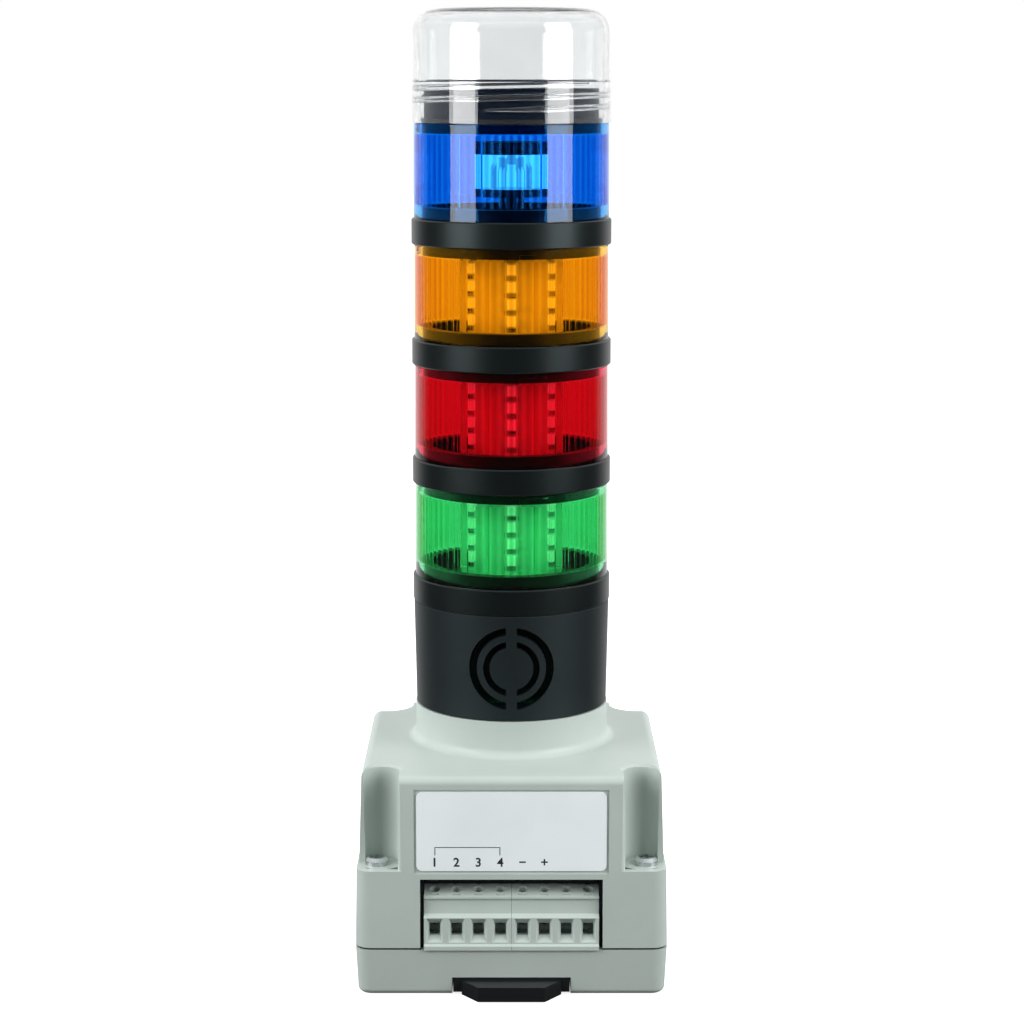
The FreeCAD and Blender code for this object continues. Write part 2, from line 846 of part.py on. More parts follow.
def standoff_spots():
    """Places of the base board's four standoffs."""
    return [
        (side * s.standoff_side, y)
        for side in (-1, 1) for y in (-s.standoff_front, s.standoff_rear)
    ]


def rail_slot():
    """Cutter of the rail slot: full width at the flange, hooked at the rear."""
    half, depth = s.rail_half_width, s.rail_depth
    hook_top = depth - s.rail_flange
    hook_foot = hook_top - s.hook_thickness
    below = as_size(-MARGIN)
    points = [
        (-half, below), (half + s.hook_reach / 2, below), (half - s.hook_reach, hook_foot),
        (half - s.hook_reach, hook_top), (half, hook_top), (half, depth), (-half, depth),
    ]
    return extruded("rail_slot", points, -over(s.base_half_width), over(s.base_half_width))


def latch_guide():
    """Cutter of the latch's recess and of the grooves that carry its ribs."""
    half = s.latch_half_width + s.latch_clearance
    recess = box("latch_recess", (-half, half), (-over(s.base_front), -s.rail_half_width),
                 (as_size(-MARGIN), s.rail_depth))
    reach = half + s.latch_rib_width
    low = s.latch_rib_lift - s.latch_clearance
    high = s.latch_rib_lift + s.latch_rib_height + s.latch_clearance
    front = s.latch_rib_front + s.latch_travel + s.latch_clearance
    groove = box("latch_grooves", (-reach, reach), (-front, -s.rail_half_width), (low, high))
    return fuse("latch_guide", [recess, groove])


def coring():
    """Open pockets in the underside that keep the walls even."""
    rib = s.coring_rib
    pocket_low = s.latch_half_width + s.latch_rib_width + rib
    pocket_high = s.base_half_width - 2 * rib
    front = screw_front - s.boss_radius
    rear = screw_rear - s.boss_radius
    tools = []
    levels = (as_size(-MARGIN), s.coring_depth)
    for word, side in (("left", -1), ("right", 1)):
        x = ordered(side * pocket_low, side * pocket_high)
        tools.append(box(f"core_front_{word}", x, (-front, -s.rail_half_width - rib), levels))
        x = ordered(side * rib / 2, side * pocket_high)
        tools.append(box(f"core_rear_{word}", x, (s.rail_half_width + rib, rear), levels))
    return tools


def din_latch():
    """Sliding latch with a nose for the rail, guide ribs and a pull tongue."""
    top = s.rail_depth - s.latch_clearance / 3
    nose_top = s.rail_depth - s.rail_flange
    root = s.rail_half_width - s.latch_clearance
    tip = root - s.latch_nose
    front = s.base_front - s.latch_clearance
    points = [
        (-front, s.latch_underside), (-root - s.latch_nose, s.latch_underside),
        (-tip, nose_top - s.hook_thickness), (-tip, nose_top), (-root, nose_top), (-root, top), (-front, top),
    ]
    plate = extruded("latch_plate", points, -s.latch_half_width, s.latch_half_width)
    tongue = new_body("latch_tongue")
    sketch = new_sketch(tongue, "tongue_outline", "XY_Plane", s.tongue_underside)
    reach = s.base_front + s.tongue_reach
    outline(sketch, [
        (-s.tongue_root_half, -front), (-s.tongue_tip_half, -reach),
        (s.tongue_tip_half, -reach), (s.tongue_root_half, -front),
        (s.tongue_root_half, s.latch_clearance - front), (-s.tongue_root_half, s.latch_clearance - front),
    ])
    pad(tongue, "tongue_pad", sketch, s.tongue_height)
    side = s.latch_half_width + s.latch_rib_width
    ribs = box("latch_ribs", (-side, side), (-s.latch_rib_front, -s.latch_rib_rear),
               (s.latch_rib_lift, s.latch_rib_lift + s.latch_rib_height))
    window_half = s.spring_radius + 2 * s.latch_clearance
    window = box("spring_window", (-window_half, window_half),
                 (-s.spring_front - s.stop_tab_thickness - 2 * s.latch_clearance, -s.spring_rear),
                 (as_size(0), s.rail_depth))
    node(cut("latch", fuse("latch_solid", [plate, tongue, ribs]), [window]), "din_latch")


def latch_spring():
    """Envelope of the coil spring between the tray's stop tab and the latch."""
    outside = cross_cylinder("spring_outside", s.spring_radius, -s.spring_front, -s.spring_rear,
                             0, s.spring_axis_height)
    inside = cross_cylinder("spring_inside", s.spring_bore, -over(s.spring_front), MARGIN - s.spring_rear,
                            0, s.spring_axis_height)
    node(cut("spring", outside, [inside]), "latch_spring")


def base_electronics():
    """Circuit board on its standoffs, harness connector and harness to the tower socket."""
    low = s.tray_floor + s.standoff_height
    high = low + s.board_thickness
    node(box("board", (-s.board_half_width, s.board_half_width), (-s.board_front, s.board_rear), (low, high)),
         "base_board")
    half, deep = s.connector_width / 2, s.connector_depth / 2
    top = high + s.connector_height
    node(box("connector", (-half, half), (-deep, deep), (high, top)), "harness_connector")
    node(cylinder("harness", s.harness_radius, top, socket_underside()), "tower_harness")


def socket_underside():
    """Underside of the contact block in the deck."""
    return s.deck_height - 2 * s.housing_wall


def tower_socket():
    """Contact block that seats on the deck inside the collar, with its contact ring."""
    seat = s.deck_height + s.housing_wall
    body_radius = s.deck_hole_radius - s.lug_clearance
    top = sounder_level - s.core_top_drop
    points = [
        (as_size(0), socket_underside()), (body_radius, socket_underside()), (body_radius, seat),
        (body_radius + s.housing_wall, seat), (body_radius + s.housing_wall, seat + s.housing_wall),
        (s.core_radius, seat + s.housing_wall), (s.core_radius, top), (as_size(0), top),
    ]
    node(revolved("socket_block", points), "tower_socket")
    node(contact_ring("tower_ring", sounder_level), "tower_contact_ring")


def contact_ring(name, level):
    """Brass ring on top of the core that ends below a level."""
    low = level - s.core_top_drop
    high = low + s.contact_ring_height
    outside = cylinder(name + "_outside", s.contact_ring_outside, low, high)
    return cut(name, outside, [cylinder(name + "_inside", s.contact_ring_inside, low - MARGIN, over(high))])


def contact_pins(name, level, top):
    """A ring of pins that hang from a board or core down into the module below."""
    pins = []
    count = int(s.pin_count.value)
    for index in range(count):
        pin = doc.addObject("Part::Box", f"{name}_pin{index}")
        bind(pin, Length=s.contact_width, Width=s.contact_width, Height=top - level + s.spigot_length)
        angle = 2 * math.pi * index / count
        x = s.contact_circle * round(math.cos(angle), 6) - s.contact_width / 2
        y = s.contact_circle * round(math.sin(angle), 6) - s.contact_width / 2
        pins.append(place(pin, x, y, level - s.spigot_length))
    return pins


# --------------------------------------------------------------- terminals

def plug_profile():
    """Side outline (y, z) of a plug: foot lip, entry block, label band, brow and screw deck."""
    front, lip = -s.base_front, -s.base_front - s.plug_lip_reach
    band, brow, deck = (front + inset for inset in (s.plug_band_inset, s.plug_brow_inset, s.plug_deck_inset))
    heights = [plug_foot + rise for rise in (
        s.plug_lip_height, s.plug_lip_height + s.plug_lip_slope, s.plug_front_height, s.plug_band_foot,
        s.plug_band_top, s.plug_brow_height, s.plug_deck_height, s.plug_deck_height - s.plug_back_drop,
    )]
    lip_top, lip_root, front_top, band_foot, band_top, brow_top, deck_top, back_top = heights
    return [
        (-s.plug_rear, plug_foot), (-s.plug_rear, back_top), (deck + s.plug_back_step, back_top),
        (deck, deck_top), (brow, brow_top), (brow, band_top), (band, band_top - s.plug_back_step),
        (band, band_foot), (front, front_top), (front, lip_root), (lip, lip_top), (lip, plug_foot),
    ]


def pole_x(side, index):
    """Centre of a pole, counted outwards from the middle of the base."""
    return side * (s.pole_pitch * (index + 0.5))


def plug(side, word):
    """Four-pole plug with funnelled wire entries, driver holes and pin slots."""
    low, high = (as_size(0) + s.plug_gap / 2, plug_width) if side > 0 else (-plug_width, -s.plug_gap / 2)
    blank = extruded(f"plug_{word}_blank", plug_profile(), low, high)
    tools = []
    level = entry_level
    deck = over(plug_foot + s.plug_deck_height)
    back = -s.clamp_front + s.clamp_depth + s.clamp_play
    for index in range(POLES):
        name = f"{word}{index}"
        x = pole_x(side, index)
        funnel = doc.addObject("Part::Wedge", f"funnel_{name}")
        bind(funnel, Xmin=-s.funnel_width / 2, Xmax=s.funnel_width / 2, X2min=-s.entry_width / 2,
             X2max=s.entry_width / 2, Zmin=-s.funnel_height / 2, Zmax=s.funnel_height / 2,
             Z2min=-s.entry_height / 2, Z2max=s.entry_height / 2, Ymin=0, Ymax=s.funnel_depth)
        tools.append(place(funnel, x, -s.base_front, level))
        tools.append(box(f"entry_{name}", (x - s.entry_width / 2, x + s.entry_width / 2),
                         (-s.base_front, back), (level - s.entry_height / 2, level + s.entry_height / 2)))
        wide, tall = s.clamp_width / 2 + s.clamp_play, s.clamp_height / 2 + s.clamp_play
        tools.append(box(f"clamp_room_{name}", (x - wide, x + wide),
                         (-s.clamp_front - s.clamp_play, back), (level - tall, level + tall)))
        y = clamp_axis()
        tools.append(cylinder(f"driver_hole_{name}", s.driver_hole_radius, level, deck, x, y))
        slot = s.test_slot_width / 2
        tools.append(box(f"test_slot_{name}", (x - slot, x + slot),
                         (y - s.driver_hole_radius - 2 * s.test_slot_depth,
                          y - s.driver_hole_radius - s.test_slot_depth),
                         (level + s.clamp_screw_rise, deck)))
        half = s.pin_slot / 2
        tools.append(box(f"pin_slot_{name}", (x - half, x + half), (back - half, over(-s.plug_rear)),
                         (level - half, level + half)))
    node(cut(f"plug_{word}", blank, tools), f"terminal_plug_{word}")
    node(clamp_screws(side, word), f"clamp_screws_{word}")
    node(wire_clamps(side, word), f"wire_clamps_{word}")


def clamp_axis():
    """Axis of the clamp screws, over the middle of the clamps."""
    return -s.clamp_front + s.clamp_depth / 2


def clamp_screws(side, word):
    """Slotted screws that stand on the clamps."""
    screws = []
    for index in range(POLES):
        name = f"{word}{index}"
        x, y = pole_x(side, index), clamp_axis()
        top = entry_level + s.clamp_screw_rise
        foot = entry_level + s.clamp_height / 2
        head = cylinder(f"clamp_head_{name}", s.clamp_screw_radius, top - s.clamp_screw_head, top, x, y)
        shank = cylinder(f"clamp_shank_{name}", s.clamp_screw_shank, foot, top - s.clamp_screw_head, x, y)
        slot = box(f"clamp_slot_{name}", (x - s.clamp_screw_radius, x + s.clamp_screw_radius),
                   (y - s.screwdriver_slot / 2, y + s.screwdriver_slot / 2),
                   (top - s.clamp_screw_head / 2, over(top)))
        screws.append(cut(f"clamp_screw_{name}", fuse(f"clamp_blank_{name}", [head, shank]), [slot]))
    return group(f"clamp_screw_set_{word}", screws)


def wire_clamps(side, word):
    """Box clamps that are open towards the wire entries and the pins."""
    clamps = []
    for index in range(POLES):
        name = f"{word}{index}"
        x = pole_x(side, index)
        y = (-s.clamp_front, -s.clamp_front + s.clamp_depth)
        wide, tall = s.clamp_width / 2, s.clamp_height / 2
        outside = box(f"clamp_outside_{name}", (x - wide, x + wide), y,
                      (entry_level - tall, entry_level + tall))
        wide, tall = wide - s.clamp_wall, tall - s.clamp_wall
        inside = box(f"clamp_inside_{name}", (x - wide, x + wide), (y[0] - MARGIN, over(y[1])),
                     (entry_level - tall, entry_level + tall))
        clamps.append(cut(f"clamp_{name}", outside, [inside]))
    return group(f"clamp_set_{word}", clamps)


def terminal_header():
    """Black header on the base board, with a shroud round the plugs and its pins."""
    board_top = s.tray_floor + s.standoff_height + s.board_thickness
    half = s.opening_half_width - s.latch_clearance
    front = -s.plug_rear + s.plug_gap * 2
    rear = front + s.header_wall
    roof = opening_top - s.latch_clearance
    wall = box("header_wall", (-half, half), (front, rear), (board_top, roof))
    lid = box("header_lid", (-half, half), (-s.plug_rear - s.header_reach, rear),
              (roof - s.header_lid, roof))
    sides, holes, pins = [], [], []
    for word, side in (("left", -1), ("right", 1)):
        x = ordered(side * (half - s.header_side), side * half)
        sides.append(box(f"header_side_{word}", x, (-s.plug_rear - s.shroud_reach, rear), (parting, roof)))
        for index in range(POLES):
            name = f"{word}_{index}"
            x = pole_x(side, index)
            wide = s.pin_width / 2
            span = (x - wide, x + wide)
            tall = (entry_level - wide, entry_level + wide)
            holes.append(box(f"pin_hole_{name}", span, (front - MARGIN, over(rear)), tall))
            blade = box(f"pin_blade_{name}", span, (-s.plug_rear - s.pin_reach, rear + s.pin_width), tall)
            leg = box(f"pin_leg_{name}", span, (rear, rear + s.pin_width), (board_top, tall[1]))
            pins.append(fuse(f"pin_{name}", [blade, leg]))
    node(cut("header", fuse("header_solid", [wall, lid] + sides), holes), "terminal_header")
    node(group("pins", pins), "header_pins")


# ----------------------------------------------------------------- sounder

def sounder():
    """Sounder module: housing with a ring grille, disc, board, core and contacts."""
    level = sounder_level
    top = s.sounder_height - s.seat_gap
    floor = s.sounder_floor_lift
    inner = spigot_radius - s.spigot_wall
    rim = s.ring_radius - s.sounder_top_inset
    points = [
        (inner, -s.spigot_length), (spigot_radius, -s.spigot_length), (spigot_radius, as_size(0)),
        (sounder_foot_radius - s.ring_edge, as_size(0)), (sounder_foot_radius, s.ring_edge),
        (rim, top - s.ring_edge), (rim - s.ring_edge, top),
        (socket_radius, top), (socket_radius, floor + s.sounder_floor),
        (s.core_hole_radius, floor + s.sounder_floor), (s.core_hole_radius, floor), (inner, floor),
    ]
    shell = revolved("sounder_shell", points, level)
    solid = with_lugs("sounder_body", shell, level, inner)
    tools = grille_slots(level + s.grille_height) + bayonet_tools("sounder", first_light)
    node(cut("sounder", solid, tools), "sounder_housing")

    seat = level + floor + s.sounder_floor
    front = -disc_front
    back = front + s.disc_thickness
    node(cross_cylinder("disc", s.disc_radius, front, back, 0, level + s.grille_height), "sounder_disc")
    half = s.sounder_board_width / 2
    node(box("sounder_pcb", (-half, half), (back, back + s.board_thickness),
             (seat, seat + s.sounder_board_height)), "sounder_board")
    node(cylinder("sounder_post", s.core_radius, seat, first_light - s.core_top_drop), "sounder_core")
    parts = contact_pins("sounder", level, seat) + [contact_ring("sounder_ring", first_light)]
    node(group("sounder_contact_set", parts), "sounder_contacts")


def grille_slots(height):
    """Two broken ring slots, cut straight through the front wall."""
    slots = []
    pairs = ((s.outer_slot_outside, s.outer_slot_inside), (s.inner_slot_outside, s.inner_slot_inside))
    front, rear = -over(s.ring_radius), -over(disc_front)
    for index, (outside, inside) in enumerate(pairs):
        ring = cross_cylinder(f"slot_outside{index}", outside, front, rear, 0, height)
        hole = cross_cylinder(f"slot_inside{index}", inside, front - MARGIN, over(rear), 0, height)
        spoke = box(f"spoke{index}", (-s.grille_spoke / 2, s.grille_spoke / 2), (front - MARGIN, over(rear)),
                    (height - over(outside), height + over(outside)))
        slots.append(cut(f"grille_slot{index}", ring, [hole, spoke]))
    return slots


# ------------------------------------------------------------ light modules

def base_ring(word, level):
    """Black ring with a bayonet spigot below, a neck for the lens and a ledge for the board."""
    edge = s.ring_edge
    top = s.ring_height
    points = [
        (ledge_bore, -s.spigot_length), (spigot_radius, -s.spigot_length), (spigot_radius, as_size(0)),
        (s.ring_radius - edge, as_size(0)), (s.ring_radius, edge), (s.ring_radius, top - edge),
        (s.ring_radius - edge, top), (spigot_radius, top), (spigot_radius, top + s.neck_height),
        (ring_bore, top + s.neck_height), (ring_bore, s.ledge_height), (ledge_bore, s.ledge_height),
    ]
    shell = revolved(f"{word}_ring_shell", points, level)
    node(with_lugs(f"{word}_ring", shell, level, ledge_bore), f"{word}_base_ring")


def flute_prism(word, level):
    """Star-shaped prism whose points are the flutes on the inside of a lens."""
    count = int(s.flute_count.value)
    valley, crest = socket_radius + s.flute_root, socket_radius - s.flute_rise
    corners = []
    for index in range(2 * count):
        radius = valley.value if index % 2 else crest.value
        angle = math.pi * index / count
        corners.append(Vector(radius * math.cos(angle), radius * math.sin(angle), 0))
    face = Part.Face(Part.makePolygon(corners + corners[:1]))
    prism = doc.addObject("Part::Feature", f"{word}_flutes")
    prism.Shape = face.extrude(Vector(0, 0, (s.flute_top - s.flute_foot).value))
    return place(prism, 0, 0, level + s.flute_foot)


def lens(word, level):
    """Coloured lens: smooth outside, fluted inside, with a bayonet socket in its top."""
    top = s.module_pitch - s.seat_gap
    rim = s.ring_radius - s.lens_top_inset
    points = [
        (socket_radius, s.ring_height), (s.ring_radius - s.lens_foot_inset, s.ring_height),
        (rim, top - s.ring_edge), (rim - s.ring_edge, top), (socket_radius, top),
    ]
    blank = revolved(f"{word}_lens_blank", points, level)
    tools = [flute_prism(word, level)] + bayonet_tools(f"{word}_lens", level + s.module_pitch)
    node(cut(f"{word}_lens_cut", blank, tools), f"{word}_lens")


def module_board(word, level):
    """Round circuit board on the ring's ledge."""
    low, high = level + s.ledge_height, level + s.ledge_height + s.board_thickness
    disc = cylinder(f"{word}_disc", ring_bore - s.disc_board_clearance, low, high)
    hole = cylinder(f"{word}_disc_hole", s.disc_board_hole, low - MARGIN, over(high))
    node(cut(f"{word}_disc_cut", disc, [hole]), f"{word}_board")
    return high


def prism(name, radius, low, high):
    """Hexagonal prism with a flat side to the front."""
    obj = doc.addObject("Part::Prism", name)
    obj.Polygon = HEXAGON
    bind(obj, Circumradius=radius, Height=high - low)
    return place(obj, 0, 0, low)


def facing(name, index, inner, outer, width, low, high):
    """A box against one side of the hexagon, from an inner to an outer apothem."""
    obj = doc.addObject("Part::Box", name)
    bind(obj, Length=width, Width=outer - inner, Height=high - low)
    turn = FULL_TURN / HEXAGON * index
    angle = math.radians(turn)
    across = width / -2
    x = across * round(math.cos(angle), 6) + outer * round(math.sin(angle), 6)
    y = across * round(math.sin(angle), 6) - outer * round(math.cos(angle), 6)
    return place(obj, x, y, low, ((0, 0, 1), turn))


def led_core(word, level, foot):
    """Hexagonal carrier with a board in each side and a column of LEDs on each board."""
    top = level + s.module_pitch - s.core_top_drop
    panel_low, panel_high = level + s.panel_foot, top - s.panel_head
    outer = s.panel_inset + s.board_thickness
    bulk = prism(f"{word}_carrier_bulk", s.core_corner_radius, foot, top)
    tools = [prism(f"{word}_carrier_bore", s.core_bore_radius, foot, top - s.core_roof)]
    panels, leds = [], []
    for index in range(HEXAGON):
        tools.append(facing(f"{word}_seat{index}", index, s.panel_inset - s.panel_play, over(outer, RUN_OUT),
                            s.panel_width + 2 * s.panel_play, panel_low - s.panel_play, over(top)))
        panels.append(facing(f"{word}_panel{index}", index, s.panel_inset, outer, s.panel_width,
                             panel_low, panel_high))
        for row in range(int(s.led_rows.value)):
            low = level + s.led_first + row * s.led_pitch - s.led_height / 2
            leds.append(facing(f"{word}_led{index}_{row}", index, outer, outer + s.led_thickness,
                               s.led_width, low, low + s.led_height))
    node(cut(f"{word}_carrier_cut", bulk, tools), f"{word}_led_carrier")
    node(group(f"{word}_panels", panels), f"{word}_led_boards")
    node(group(f"{word}_led_set", leds), f"{word}_leds")


def light_module(word, level):
    """Steady light module with its ring, lens, board, LED core and contacts."""
    base_ring(word, level)
    lens(word, level)
    foot = module_board(word, level)
    led_core(word, level, foot)
    parts = contact_pins(word, level, level + s.ledge_height)
    parts.append(contact_ring(f"{word}_ring_contact", level + s.module_pitch))
    node(group(f"{word}_contact_set", parts), f"{word}_contacts")


def blue_module(level):
    """Strobe module with its ring, lens, board, carrier, tube and clear cover."""
    base_ring("blue", level)
    lens("blue", level)
    foot = module_board("blue", level)
    low_foot = level + s.strobe_lower_foot
    low_top = low_foot + s.strobe_lower_thickness
    up_foot = level + s.strobe_upper_foot
    up_top = up_foot + s.strobe_upper_thickness
    node(fuse("strobe_frame", [
        cylinder("strobe_post", s.strobe_post_radius, foot, low_foot),
        cylinder("strobe_lower_plate", s.strobe_plate_radius, low_foot, low_top),
    ]), "strobe_carrier")
    node(cylinder("strobe_upper_plate", s.strobe_plate_radius, up_foot, up_top), "strobe_reflector")
    outside = cylinder("strobe_outside", s.strobe_plate_radius, low_top, up_foot)
    inside = cylinder("strobe_inside", s.strobe_plate_radius - s.strobe_cover_wall, low_top, up_foot)
    node(cut("strobe_glass", outside, [inside]), "strobe_cover")
    node(strobe_tube(low_top), "strobe_tube")
    node(group("blue_contact_set", contact_pins("blue", level, level + s.ledge_height)), "blue_contacts")


def strobe_tube(foot):
    """U-shaped flash tube: two legs joined by a half ring."""
    bend = foot + s.tube_height - s.tube_radius - s.tube_spread
    legs = [
        cylinder(f"tube_leg{index}", s.tube_radius, foot, bend, side * s.tube_spread, 0)
        for index, side in enumerate((-1, 1))
    ]
    arch = doc.addObject("Part::Torus", "tube_arch")
    bind(arch, Radius1=s.tube_spread, Radius2=s.tube_radius)
    arch.Angle3 = FULL_TURN / 2
    place(arch, 0, 0, bend, ((1, 0, 0), 90))
    return fuse("tube", legs + [arch])


# --------------------------------------------------------------------- cap

def threaded_ring(level):
    """Black neck ring with a bayonet spigot, on which the cap screws down."""
    points = [
        (neck_ring_bore, -s.spigot_length), (spigot_radius, -s.spigot_length),
        (spigot_radius, as_size(0)), (neck_ring_radius, as_size(0)),
        (neck_ring_radius, s.neck_ring_height), (neck_ring_bore, s.neck_ring_height),
    ]
    shell = revolved("neck_shell", points, level)
    node(with_lugs("neck", shell, level, neck_ring_bore), "threaded_ring")


def dome_seal(level):
    """Flat seal between the neck ring's foot and the cap."""
    low = level + s.seal_play
    high = low + s.seal_height
    outside = cylinder("seal_outside", cap_bore - s.seal_play, low, high)
    inside = cylinder("seal_inside", neck_ring_radius + s.seal_play, low - MARGIN, over(high))
    node(cut("seal", outside, [inside]), "dome_seal")


def dome_cap(level):
    """Clear cap with a wider screw skirt and a rounded, slightly crowned top."""
    shoulder = s.cap_height - s.cap_crown
    outer = s.ring_radius - s.cap_inset
    inner = outer - s.cap_wall
    inner_corner = s.cap_corner - s.cap_wall
    points = [
        (cap_bore, as_size(0)), (s.ring_radius - s.skirt_foot_inset, as_size(0)),
        (s.ring_radius - s.skirt_top_inset, s.skirt_height),
        (outer, s.skirt_height + s.ring_edge), (outer, shoulder - s.cap_corner, s.cap_corner, 1),
        (outer - s.cap_corner, shoulder), (as_size(0), s.cap_height),
        (as_size(0), s.cap_height - s.cap_wall),
        (inner - inner_corner, shoulder - s.cap_wall, inner_corner, -1),
        (inner, shoulder - s.cap_corner), (inner, s.skirt_height), (cap_bore, s.skirt_height - s.ring_edge),
    ]
    node(revolved("dome", points, level), "dome_cap")


# ------------------------------------------------------------------- build

def build():
    """Make every sub-part."""
    upper_housing()
    label_plate()
    housing_screws()
    housing_gasket()
    lower_tray()
    din_latch()
    latch_spring()
    base_electronics()
    tower_socket()
    terminal_header()
    plug(-1, "left")
    plug(1, "right")
    sounder()
    for word, level in zip(LIGHTS, light_levels):
        light_module(word, level)
    blue_module(blue_level)
    threaded_ring(cap_level)
    dome_seal(cap_level)
    dome_cap(cap_level)


def check():
    """Stop if any feature failed or any sub-part has no valid shape."""
    for obj in doc.Objects:
        if "Invalid" in obj.State or "Error" in obj.State:
            raise RuntimeError(f"{obj.Name} ({obj.Label}) failed: {obj.State}")
    for obj in nodes:
        if obj.Shape.isNull() or not obj.Shape.isValid() or not obj.Shape.Solids:
            raise RuntimeError(f"{obj.Label} has no valid solid")


def export():
    """Write each sub-part to its own file."""
    os.makedirs("parts", exist_ok=True)
    for obj in nodes:
        obj.Shape.exportStep(os.path.join("parts", obj.Label + ".step"))
        print(f"{obj.Label}: {len(obj.Shape.Solids)} solids, {obj.Shape.Volume:.1f} mm3")


build()
doc.recompute()
check()
export()
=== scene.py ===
import math

import bpy
import numpy as np
from bpy.props import FloatProperty, FloatVectorProperty, IntProperty, PointerProperty
from mathutils import Matrix, Vector


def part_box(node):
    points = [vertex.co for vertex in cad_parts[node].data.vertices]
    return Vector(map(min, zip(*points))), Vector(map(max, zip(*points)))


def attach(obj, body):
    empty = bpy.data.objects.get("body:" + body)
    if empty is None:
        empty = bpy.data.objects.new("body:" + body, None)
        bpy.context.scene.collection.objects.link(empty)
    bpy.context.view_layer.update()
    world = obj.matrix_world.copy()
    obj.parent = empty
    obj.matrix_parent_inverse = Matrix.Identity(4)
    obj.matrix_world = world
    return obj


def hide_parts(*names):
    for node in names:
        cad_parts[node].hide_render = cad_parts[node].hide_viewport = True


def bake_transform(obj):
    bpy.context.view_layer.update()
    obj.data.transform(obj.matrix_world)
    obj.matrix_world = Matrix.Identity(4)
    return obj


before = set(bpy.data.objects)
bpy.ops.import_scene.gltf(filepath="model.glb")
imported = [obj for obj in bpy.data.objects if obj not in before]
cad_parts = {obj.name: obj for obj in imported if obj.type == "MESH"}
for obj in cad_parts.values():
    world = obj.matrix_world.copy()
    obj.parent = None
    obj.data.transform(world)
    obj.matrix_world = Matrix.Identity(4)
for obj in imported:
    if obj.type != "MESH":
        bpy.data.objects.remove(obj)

bl_info = {
    "name": "Stack Light Dressing",
    "version": (1, 0, 0),
    "blender": (4, 5, 0),
    "location": "View3D > Sidebar > Stack Light",
    "description": "Dresses the packed stack light with materials, fine detail and a studio",
    "category": "Object",
}

# Steady light modules: rows and columns of light emitters, an emitter's share of the row's pitch,
# and half the width of a column, in metres.
LIGHTS = ("green", "red", "amber")
LED_ROWS = 4
LED_COLUMNS = 6
LED_SHARE = 0.533
COLUMN_HALF = 0.0024

# Flutes inside each lens, and the plain bands that they leave at its foot and its top.
FLUTES = 72
FLUTE_FOOT = 0.0046
FLUTE_TOP = 0.0040

# Label: thickness of its film, height of the print above it, and how far a stroke is thickened.
LABEL_THICKNESS = 0.0004
PRINT_LIFT = 0.00002
STROKE_SHARE = 0.022
POLES_IN_PLUG = 4

# Points of the swept pieces: along a turn of the spring and round its wire, and along a turn of a thread.
SPRING_STEPS = 28
WIRE_SIDES = 10
THREAD_STEPS = 96

# Radius of the neck under its thread and the plain band above it. Bore of the cap's skirt, the span of
# its thread above the cap's foot, and the bearing where that thread starts.
NECK_RADIUS = 0.0304
NECK_TOP_BAND = 0.0012
SKIRT_BORE = 0.0317
SKIRT_THREAD_FOOT = 0.0044
SKIRT_THREAD_TOP = 0.0132
SKIRT_THREAD_START = math.pi * 1.4

# Thread ridge: half its foot as a share of the pitch, the angle in which its ends fade, and the least
# height and width that they fade to. The section is a share of the height, and of half the foot.
THREAD_FOOT = 0.26
THREAD_FADE = 0.6
LEAST_HEIGHT = 0.04
LEAST_WIDTH = 0.35
THREAD_SECTION = ((-0.12, -1.0), (0.0, -1.0), (0.82, -0.35), (1.0, -0.12),
                  (1.0, 0.12), (0.82, 0.35), (0.0, 1.0), (-0.12, 1.0))

# Span that holds most of a noise texture's values, and a wider one.
NOISE_CORE = (0.3, 0.7)
NOISE_SPAN = (0.2, 0.8)

# Scales of the finishes' patterns, per metre.
CLOUD_SCALE = 38.0
FLOW_SCALE = 70.0
BLOTCH_SCALE = 260.0
TURNING_SCALE = 4200.0
TRACK_SCALE = 420.0
COMPONENT_SCALE = 620.0

# Heights of the finishes' reliefs, in metres.
GRAIN_RELIEF = 0.0001
TURNING_RELIEF = 0.00005
FLOW_RELIEF = 0.0004
TRACK_RELIEF = 0.00003
COMPONENT_RELIEF = 0.0003

# Studio: half the floor's side and its place under the object, the camera's film width and near
# limit, and how often a ray may pass through clear parts and be mirrored.
WHITE = (1, 1, 1, 1)
FLOOR_HALF = 6.0
FLOOR_LEVEL = -0.0001
FILM_WIDTH = 36.0
NEAR_LIMIT = 0.01
CLEAR_BOUNCES = 24
MIRROR_BOUNCES = 12


# ------------------------------------------------------------------ settings

def length(name, description, default):
    """A property for a length in metres."""
    return FloatProperty(name=name, description=description, default=default, precision=5, unit="LENGTH")


def angle(name, description, degrees):
    """A property for an angle, with its default in degrees."""
    return FloatProperty(name=name, description=description, default=math.radians(degrees), subtype="ANGLE")


def power(name, description, default):
    """A property for a lamp's power in watts."""
    return FloatProperty(name=name, description=description, default=default, unit="POWER")


def colour(name, description, default):
    """A property for a colour in linear values."""
    return FloatVectorProperty(name=name, description=description, default=default, size=3,
                               min=0.0, max=1.0, subtype="COLOR")


